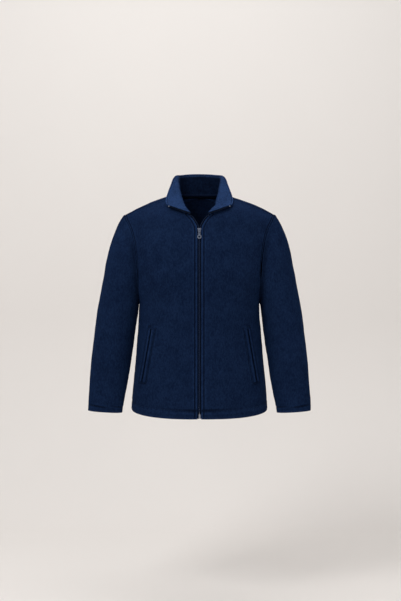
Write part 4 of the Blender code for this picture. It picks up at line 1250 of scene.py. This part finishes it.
def coil_mesh(points, normals, away, reach, phase):
    """Wound nylon coil along a line: one turn a pitch, its heads towards the other half."""
    pitch = sizes().coil / MM
    along = arc_lengths(points)
    turns = along[-1] / pitch
    at = np.linspace(0, along[-1], max(int(turns * TURN_STEPS), 12))
    centre = at_lengths(points, along, at)
    normal = unit(at_lengths(normals, along, at))
    side = unit(at_lengths(away, along, at))
    angle = 2 * math.pi * (at / pitch + phase)
    wire = centre + side * (reach * np.cos(angle))[:, None]
    wire = wire + normal * (COIL_RISE * np.sin(angle))[:, None]
    ahead = unit(np.gradient(wire, axis=0))
    first = unit(np.cross(ahead, normal))
    second = np.cross(ahead, first)
    rings = [
        wire + COIL_WIRE * (first * math.cos(turn) + second * math.sin(turn))
        for turn in np.linspace(0, 2 * math.pi, COIL_SIDES + 1)[:-1]
    ]
    return np.stack(rings, axis=1)


def tube_object(name, tubes, material):
    """Closed tubes, each a stack of rings, as one object."""
    points, faces, base = [], [], 0
    for tube in tubes:
        rows, sides = tube.shape[:2]
        points.append(tube.reshape(-1, 3))
        faces += (grid_faces(rows, sides, closed=True) + base).tolist()
        end = base + sides * (rows - 1)
        faces += [list(range(base, base + sides))[::-1], list(range(end, end + sides))]
        base += sides * rows
    return add_mesh(name, np.concatenate(points), faces, material)


def coils(points, normals, away, depth):
    """Closed chain below the slider and the open halves above it."""
    centre = points - normals * (depth - 1.0)[:, None]
    closed = (points[:, 2] > CHAIN_FOOT_Z) & (points[:, 2] < SLIDER_Z - 4)
    halves = []
    for hand in (1, -1):
        line = centre[closed].copy()
        line[:, 0] = 1.15 * hand
        ways = np.tile((-1.0 * hand, 0.0, 0.0), (len(line), 1))
        normal = normals[closed] * (0, 1, 1)
        halves.append(coil_mesh(line, normal, ways, 1.3, 0.5 if hand > 0 else 0.0))
    settle(tube_object("zip_coil_closed", halves, coil_material()), "navy_coil", "zip_chain")
    above = np.nonzero(points[:, 2] > SLIDER_Z + 9)[0]
    for hand, flip in (("left", False), ("right", True)):
        line = centre[above] + away[above] * 4.7
        first = centre[above[0]]
        lead = np.array([
            (1.3, first[1] - 3.2, SLIDER_Z + 1.0), (2.4, first[1] - 1.7, SLIDER_Z + 4.5)
        ])
        line = np.concatenate([lead, line])
        normal = np.concatenate([normals[above[:1]]] * 2 + [normals[above]])
        ways = np.concatenate([[(-1.0, 0.0, 0.0)]] * 2 + [away[above]])
        tube = coil_mesh(line, normal, ways, 1.15, 0.0)
        if flip:
            tube = mirrored(tube)[:, ::-1]
        item = tube_object("zip_coil_open_" + hand, [tube], coil_material())
        settle(item, "navy_coil", "zip_coil_" + hand)


def dress_metal(name, width):
    """Give a metal solid its finish and softened edges."""
    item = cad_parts[name]
    item.data.materials.clear()
    item.data.materials.append(metal_material())
    join = item.modifiers.new("joined_facets", "WELD")
    join.merge_threshold = 0.002 * MM
    edge = item.modifiers.new("soft_edges", "BEVEL")
    edge.width = width
    edge.segments = 3
    edge.limit_method = "ANGLE"
    edge.angle_limit = math.radians(28)
    edge.harden_normals = False


# --- Pockets and neck tape ----------------------------------------------------------------

def front_tree(hand):
    skin = cloth()["front_" + hand]
    return BVHTree.FromPolygons(
        [Vector(point) for point in skin.outer], [tuple(face) for face in skin.faces.tolist()]
    )


def on_front(tree, flats):
    """Points of a front, and its normals, behind a grid of (x, z)."""
    shape = flats.shape[:-1]
    points, normals = [], []
    for x, z in flats.reshape(-1, 2):
        hit, normal, _, _ = tree.ray_cast(Vector((x, -400, z)), Vector((0, 1, 0)), 400)
        if hit is None:
            raise RuntimeError("a pocket reaches past its front")
        points.append(hit)
        normals.append(normal)
    return np.array(points).reshape(*shape, 3), np.array(normals).reshape(*shape, 3)


def pocket_frame(flip):
    """Top of the slit, direction down it and direction across it, as (x, z)."""
    hand = np.array((-1.0, 1.0) if flip else (1.0, 1.0))
    top, foot = np.array(POCKET_TOP) * hand, np.array(POCKET_FOOT) * hand
    length = np.linalg.norm(foot - top)
    line = (foot - top) / length
    across = np.array((-line[1], line[0]))
    return top, line, across if not flip else -across, length


def pocket_lip(name, tree, flip, toward_back):
    """Soft rolled lip of a pocket mouth, with its fold at the slit."""
    top, line, across, length = pocket_frame(flip)
    across = across * (1 if toward_back else -1)
    down = np.concatenate([[0, 0.5, 1.2, 2.2], np.linspace(4, length - 4, 44)])
    down = np.concatenate([down, length - np.array([2.2, 1.2, 0.5, 0])])
    away = LIP_NEAR + np.array([0, 0.15, 0.45, 0.9, 1.6, 2.5, 3.6, 4.8, 6.0, 7.0, 7.7, 8.0])
    flats = top + down[:, None, None] * line + away[None, :, None] * across
    points, normals = on_front(tree, flats)
    ends = np.minimum(down, length - down)
    roll = np.clip((away - LIP_NEAR) / 1.3, 0, 1)
    fold = 0.5 + 2.3 * np.sqrt(1 - (1 - roll) ** 2)
    fall = 1 - 0.7 * smooth_step(away - LIP_NEAR, 3.6, 8.0)
    cap = 0.35 + 0.65 * np.sqrt(1 - (1 - np.clip(ends / 2.2, 0, 1)) ** 2)
    wobble = 0.12 * np.sin(down / 9.0) + 0.08 * np.sin(down / 4.3 + 1)
    thick = (fold * fall)[None, :] * cap[:, None] + (wobble * cap)[:, None] * fall
    outer = points + normals * (0.35 + thick)[..., None]
    inner = points + normals * 0.3
    faces = grid_faces(*outer.shape[:2])
    if toward_back != flip:
        faces = faces[:, ::-1]
    item = closed_sheet(name, outer.reshape(-1, 3), inner.reshape(-1, 3), faces, fleece_material())
    # Painted highlight on the lip's roll, painted shade at its fold into the slit and where it
    # lies down on the front
    share = away - LIP_NEAR
    lay = painted_bands(share, PAINTED_LIGHT_ON_LIP) - 0.35 * smooth_step(share, 6.5, 8.0)
    lay = np.tile(lay, 2 * len(down))
    item.data.attributes.new(PAINTED_LIGHT_AND_SHADE, "FLOAT", "POINT").data.foreach_set(
        "value", lay.astype(np.float32)
    )
    return item


def pocket_outline(tree, flip):
    """Stitched box round a pocket mouth."""
    top, line, across, length = pocket_frame(flip)
    corners = [
        (-POCKET_HEAD, -POCKET_BOX), (-POCKET_HEAD, POCKET_BOX),
        (length + POCKET_TAIL, POCKET_BOX), (length + POCKET_TAIL, -POCKET_BOX),
        (-POCKET_HEAD, -POCKET_BOX),
    ]
    lines = []
    for (d0, a0), (d1, a1) in zip(corners, corners[1:]):
        count = max(int(math.hypot(d1 - d0, a1 - a0) / 3), 4)
        part = np.linspace(0, 1, count)[:, None]
        flats = top + (d0 + (d1 - d0) * part) * line + (a0 + (a1 - a0) * part) * across
        points, normals = on_front(tree, flats)
        lines.append((points, normals))
    return lines


def neck_tape_piece():
    """Woven tape over the back neck seam, on the inner side of the collar's foot."""
    collar = cloth()["collar"]
    rows = [k for k, place in enumerate(neck_stations()) if place >= FRONT_STATIONS + 0.5]
    grids = []
    depth = 2 * sizes().fleece / MM + TAPE_AIR
    heights = np.array(TAPE_LINES)
    for index, flip in ((collar.indexes[0], False), (collar.indexes[1], True)):
        left = collar.facts["seam"][index]
        lines, ways = [], []
        for row in rows:
            face = collar.points[index[row]]
            way = collar.normals[index[row]]
            lines.append(at_lengths(face, left[row], heights))
            ways.append(unit(at_lengths(way, left[row], heights)))
        lines, ways = np.array(lines), np.array(ways)
        if flip:
            lines, ways = lines[-2::-1], ways[-2::-1]
        grids.append((lines, ways))
    points = np.concatenate([grid[0] for grid in grids])
    ways = np.concatenate([grid[1] for grid in grids])
    edge = np.minimum(heights - heights[0], heights[-1] - heights)
    roll = TAPE_ROUND * (1 - np.sqrt(1 - (1 - np.clip(edge / 0.6, 0, 1)) ** 2))
    outer = points - ways * (depth + roll)[None, :, None]
    inner = points - ways * (depth + 0.8 - roll)[None, :, None]
    faces = grid_faces(*points.shape[:2])[:, ::-1]
    item = closed_sheet(
        "neck_tape_woven", outer.reshape(-1, 3), inner.reshape(-1, 3), faces, neck_tape_material()
    )
    seams = [
        (inner[:, column], -ways[:, column]) for column in (2, len(heights) - 3)
    ]
    return item, seams


# --- Operators ----------------------------------------------------------------------------

class JACKET_OT_body(bpy.types.Operator):
    """Cut and shape the two fronts and the back"""

    bl_idname = "jacket.body"
    bl_label = "Fronts and Back"

    def execute(self, context):
        for hand in ("left", "right"):
            name = "front_" + hand
            item = cloth_piece(name, name, fleece_material(), "navy_fleece")
        item = cloth_piece("back", "back", fleece_material(), "navy_fleece")
        return {"FINISHED"}


class JACKET_OT_sleeves(bpy.types.Operator):
    """Shape the two sleeves, all round"""

    bl_idname = "jacket.sleeves"
    bl_label = "Sleeves"

    def execute(self, context):
        for hand in ("left", "right"):
            name = "sleeve_" + hand
            item = cloth_piece(name, name, fleece_material(), "navy_fleece")
        return {"FINISHED"}


class JACKET_OT_collar(bpy.types.Operator):
    """Fold the two layers of the collar and lay the neck tape"""

    bl_idname = "jacket.collar"
    bl_label = "Collar"

    def execute(self, context):
        plain = sizes().fleece / MM
        outer = cloth_piece(
            "collar_outer", "collar", fleece_material(), "navy_fleece", rounds=(1, 0)
        )
        inner = cloth_piece(
            "collar_inner", "collar", collar_shaded_and_lit_material(), "navy_fleece_collar", plain + 0.3, (0, 1)
        )
        tape, seams = neck_tape_piece()
        settle(tape, "navy_tape", "neck_tape")
        sew("stitches_neck_tape", seams, "navy_tape")
        return {"FINISHED"}


class JACKET_OT_pockets(bpy.types.Operator):
    """Lay the lips of the two slanted pockets and stitch round them"""

    bl_idname = "jacket.pockets"
    bl_label = "Pockets"

    def execute(self, context):
        for hand, flip in (("left", False), ("right", True)):
            tree = front_tree(hand)
            for side, toward_back in (("front", False), ("back", True)):
                name = "pocket_lip_" + side + "_" + hand
                item = pocket_lip(name + "_roll", tree, flip, toward_back)
                settle(item, "navy_fleece", name)
            sew("stitches_pocket_" + hand, pocket_outline(tree, flip))
        return {"FINISHED"}


class JACKET_OT_zip(bpy.types.Operator):
    """Lay the zip tapes, wind the coils and finish the metal"""

    bl_idname = "jacket.zip"
    bl_label = "Zip"

    def execute(self, context):
        coils(*zip_tapes())
        for name, width in (
            ("zip_slider", 0.00022), ("zip_pull_tab", 0.0002), ("zip_box", 0.0005),
            ("zip_pin", 0.0005), ("zip_top_stop_left", 0.0007), ("zip_top_stop_right", 0.0007),
        ):
            dress_metal(name, width)
        return {"FINISHED"}


class JACKET_OT_topstitch(bpy.types.Operator):
    """Sew the topstitching along the seams, hems, cuffs, zip and collar"""

    bl_idname = "jacket.topstitch"
    bl_label = "Topstitching"

    def execute(self, context):
        skins = cloth()
        for hand in ("left", "right"):
            skin = skins["front_" + hand]
            index = skin.indexes[0]
            places = np.array(front_places())
            column = -1 - EDGE_LINES.index(SEAM_STITCH)
            armhole = index[places > UNDERARM + 0.3]
            zip_rows = index[places < NECK_CORNER - 0.3]
            lines = [
                column_line(skin, armhole, column),
                column_line(skin, zip_rows, ZIP_LINES.index(ZIP_STITCH)),
            ]
            up = skin.facts["hem"][index]
            lines += [level_line(skin, index, up, line) for line in HEM_STITCHES]
            sew("stitches_front_" + hand, lines)
            skin = skins["sleeve_" + hand]
            index = skin.indexes[0]
            lines = [level_line(skin, index, skin.facts["hem"][index], CUFF_STITCH)]
            sew("stitches_cuff_" + hand, lines)
        skin = skins["back"]
        lines = []
        places = np.array(back_places())
        for index in skin.indexes:
            column = -1 - EDGE_LINES.index(SEAM_STITCH)
            lines.append(column_line(skin, index[places > UNDERARM + 0.3], column))
            up = skin.facts["hem"][index]
            lines += [level_line(skin, index, up, line) for line in HEM_STITCHES]
            down = skin.facts["shoulder"][index]
            upper = places > len(BACK_ROWS) - 3
            lines += [
                level_line(skin, index[upper], down[upper], line) for line in SHOULDER_STITCHES
            ]
        sew("stitches_back", lines)
        skin = skins["collar"]
        lines = []
        for index in skin.indexes:
            column = -1 - EDGE_LINES.index(COLLAR_STITCH)
            lines.append(column_line(skin, index, column, -1))
            end = skin.facts["calm"][index]
            lines.append(level_line(skin, index, end, ZIP_STITCH, -1))
        sew("stitches_collar", lines)
        return {"FINISHED"}


class JACKET_OT_studio(bpy.types.Operator):
    """Set the pale floor and backdrop, the soft lights and the camera"""

    bl_idname = "jacket.studio"
    bl_label = "Studio"

    def execute(self, context):
        scene = context.scene
        scene.view_settings.view_transform = "Standard"
        material, tree, shader = blank_material("pale_paper")
        place = node(tree, "ShaderNodeTexCoord").outputs["Object"]
        cloud = noise_node(tree, place, 3.0, 3)
        tint = node(tree, "ShaderNodeMix", data_type="RGBA")
        tree.links.new(cloud, tint.inputs[0])
        tint.inputs[6].default_value = (*(0.99 * value for value in colours().studio), 1)
        tint.inputs[7].default_value = (*(1.01 * value for value in colours().studio), 1)
        tree.links.new(tint.outputs[2], shader.inputs["Base Color"])
        shader.inputs["Roughness"].default_value = 0.9
        shader.inputs["Specular IOR Level"].default_value = 0.1
        see_through = node(tree, "ShaderNodeBsdfTransparent")
        facing = node(tree, "ShaderNodeNewGeometry").outputs["Backfacing"]
        either = node(tree, "ShaderNodeMixShader")
        tree.links.new(facing, either.inputs[0])
        tree.links.new(shader.outputs[0], either.inputs[1])
        tree.links.new(see_through.outputs[0], either.inputs[2])
        output = tree.nodes["Material Output"]
        tree.links.new(either.outputs[0], output.inputs["Surface"])
        profile = [(-5000.0, -1320.0), (900.0, -1320.0)]
        profile += [
            (900.0 + 900 * math.sin(turn), -420.0 - 900 * math.cos(turn))
            for turn in np.linspace(0.08, math.pi / 2, 18)
        ]
        profile += [(1800.0, 3200.0)]
        points = [(x, y, z) for y, z in profile for x in (-4500.0, 4500.0)]
        paper = add_mesh("studio_paper", points, grid_faces(len(profile), 2).tolist(), material)

        world = bpy.data.worlds.new("studio_air")
        scene.world = world
        world.use_nodes = True
        air = world.node_tree.nodes["Background"]
        air.inputs["Color"].default_value = (1.0, 0.985, 0.97, 1)
        air.inputs["Strength"].default_value = AIR_STRENGTH
        for name, spot, size, power in SOFT_LIGHTS:
            lamp = bpy.data.lights.new(name, "AREA")
            lamp.shape = "RECTANGLE"
            lamp.size, lamp.size_y = size
            lamp.energy = power
            item = bpy.data.objects.new(name, lamp)
            item.location = spot
            aim = Vector((0, 0, -0.33)) - Vector(spot)
            item.rotation_euler = aim.to_track_quat("-Z", "Y").to_euler()
            scene.collection.objects.link(item)

        lens = bpy.data.cameras.new("front_camera")
        lens.sensor_width = 36.0
        lens.lens = CAMERA_LENS
        lens.clip_end = 30.0
        camera = bpy.data.objects.new("front_camera", lens)
        camera.location = CAMERA_PLACE
        camera.rotation_euler = (math.pi / 2, 0, 0)
        scene.collection.objects.link(camera)
        scene.camera = camera
        return {"FINISHED"}


class JACKET_PT_panel(bpy.types.Panel):
    """Sizes, colours and pieces of the jacket"""

    bl_label = "Fleece Jacket"
    bl_idname = "JACKET_PT_panel"
    bl_space_type = "VIEW_3D"
    bl_region_type = "UI"
    bl_category = "Jacket"

    def draw(self, context):
        layout = self.layout
        for group in (context.scene.jacket_sizes, context.scene.jacket_colours):
            column = layout.column(align=True)
            for key in group.__annotations__:
                column.prop(group, key)
        column = layout.column(align=True)
        for operator in OPERATORS:
            column.operator(operator.bl_idname)


OPERATORS = (
    JACKET_OT_body, JACKET_OT_sleeves, JACKET_OT_collar, JACKET_OT_pockets, JACKET_OT_zip,
    JACKET_OT_topstitch, JACKET_OT_studio,
)
CLASSES = (JacketSizes, JacketColours, *OPERATORS, JACKET_PT_panel)


def register():
    for item in CLASSES:
        bpy.utils.register_class(item)
    bpy.types.Scene.jacket_sizes = bpy.props.PointerProperty(type=JacketSizes)
    bpy.types.Scene.jacket_colours = bpy.props.PointerProperty(type=JacketColours)


def unregister():
    del bpy.types.Scene.jacket_colours
    del bpy.types.Scene.jacket_sizes
    for item in reversed(CLASSES):
        bpy.utils.unregister_class(item)


def main():
    register()
    for name in ("body", "sleeves", "collar", "pockets", "zip", "topstitch", "studio"):
        getattr(bpy.ops.jacket, name)()


if __name__ == "__main__":
    main()
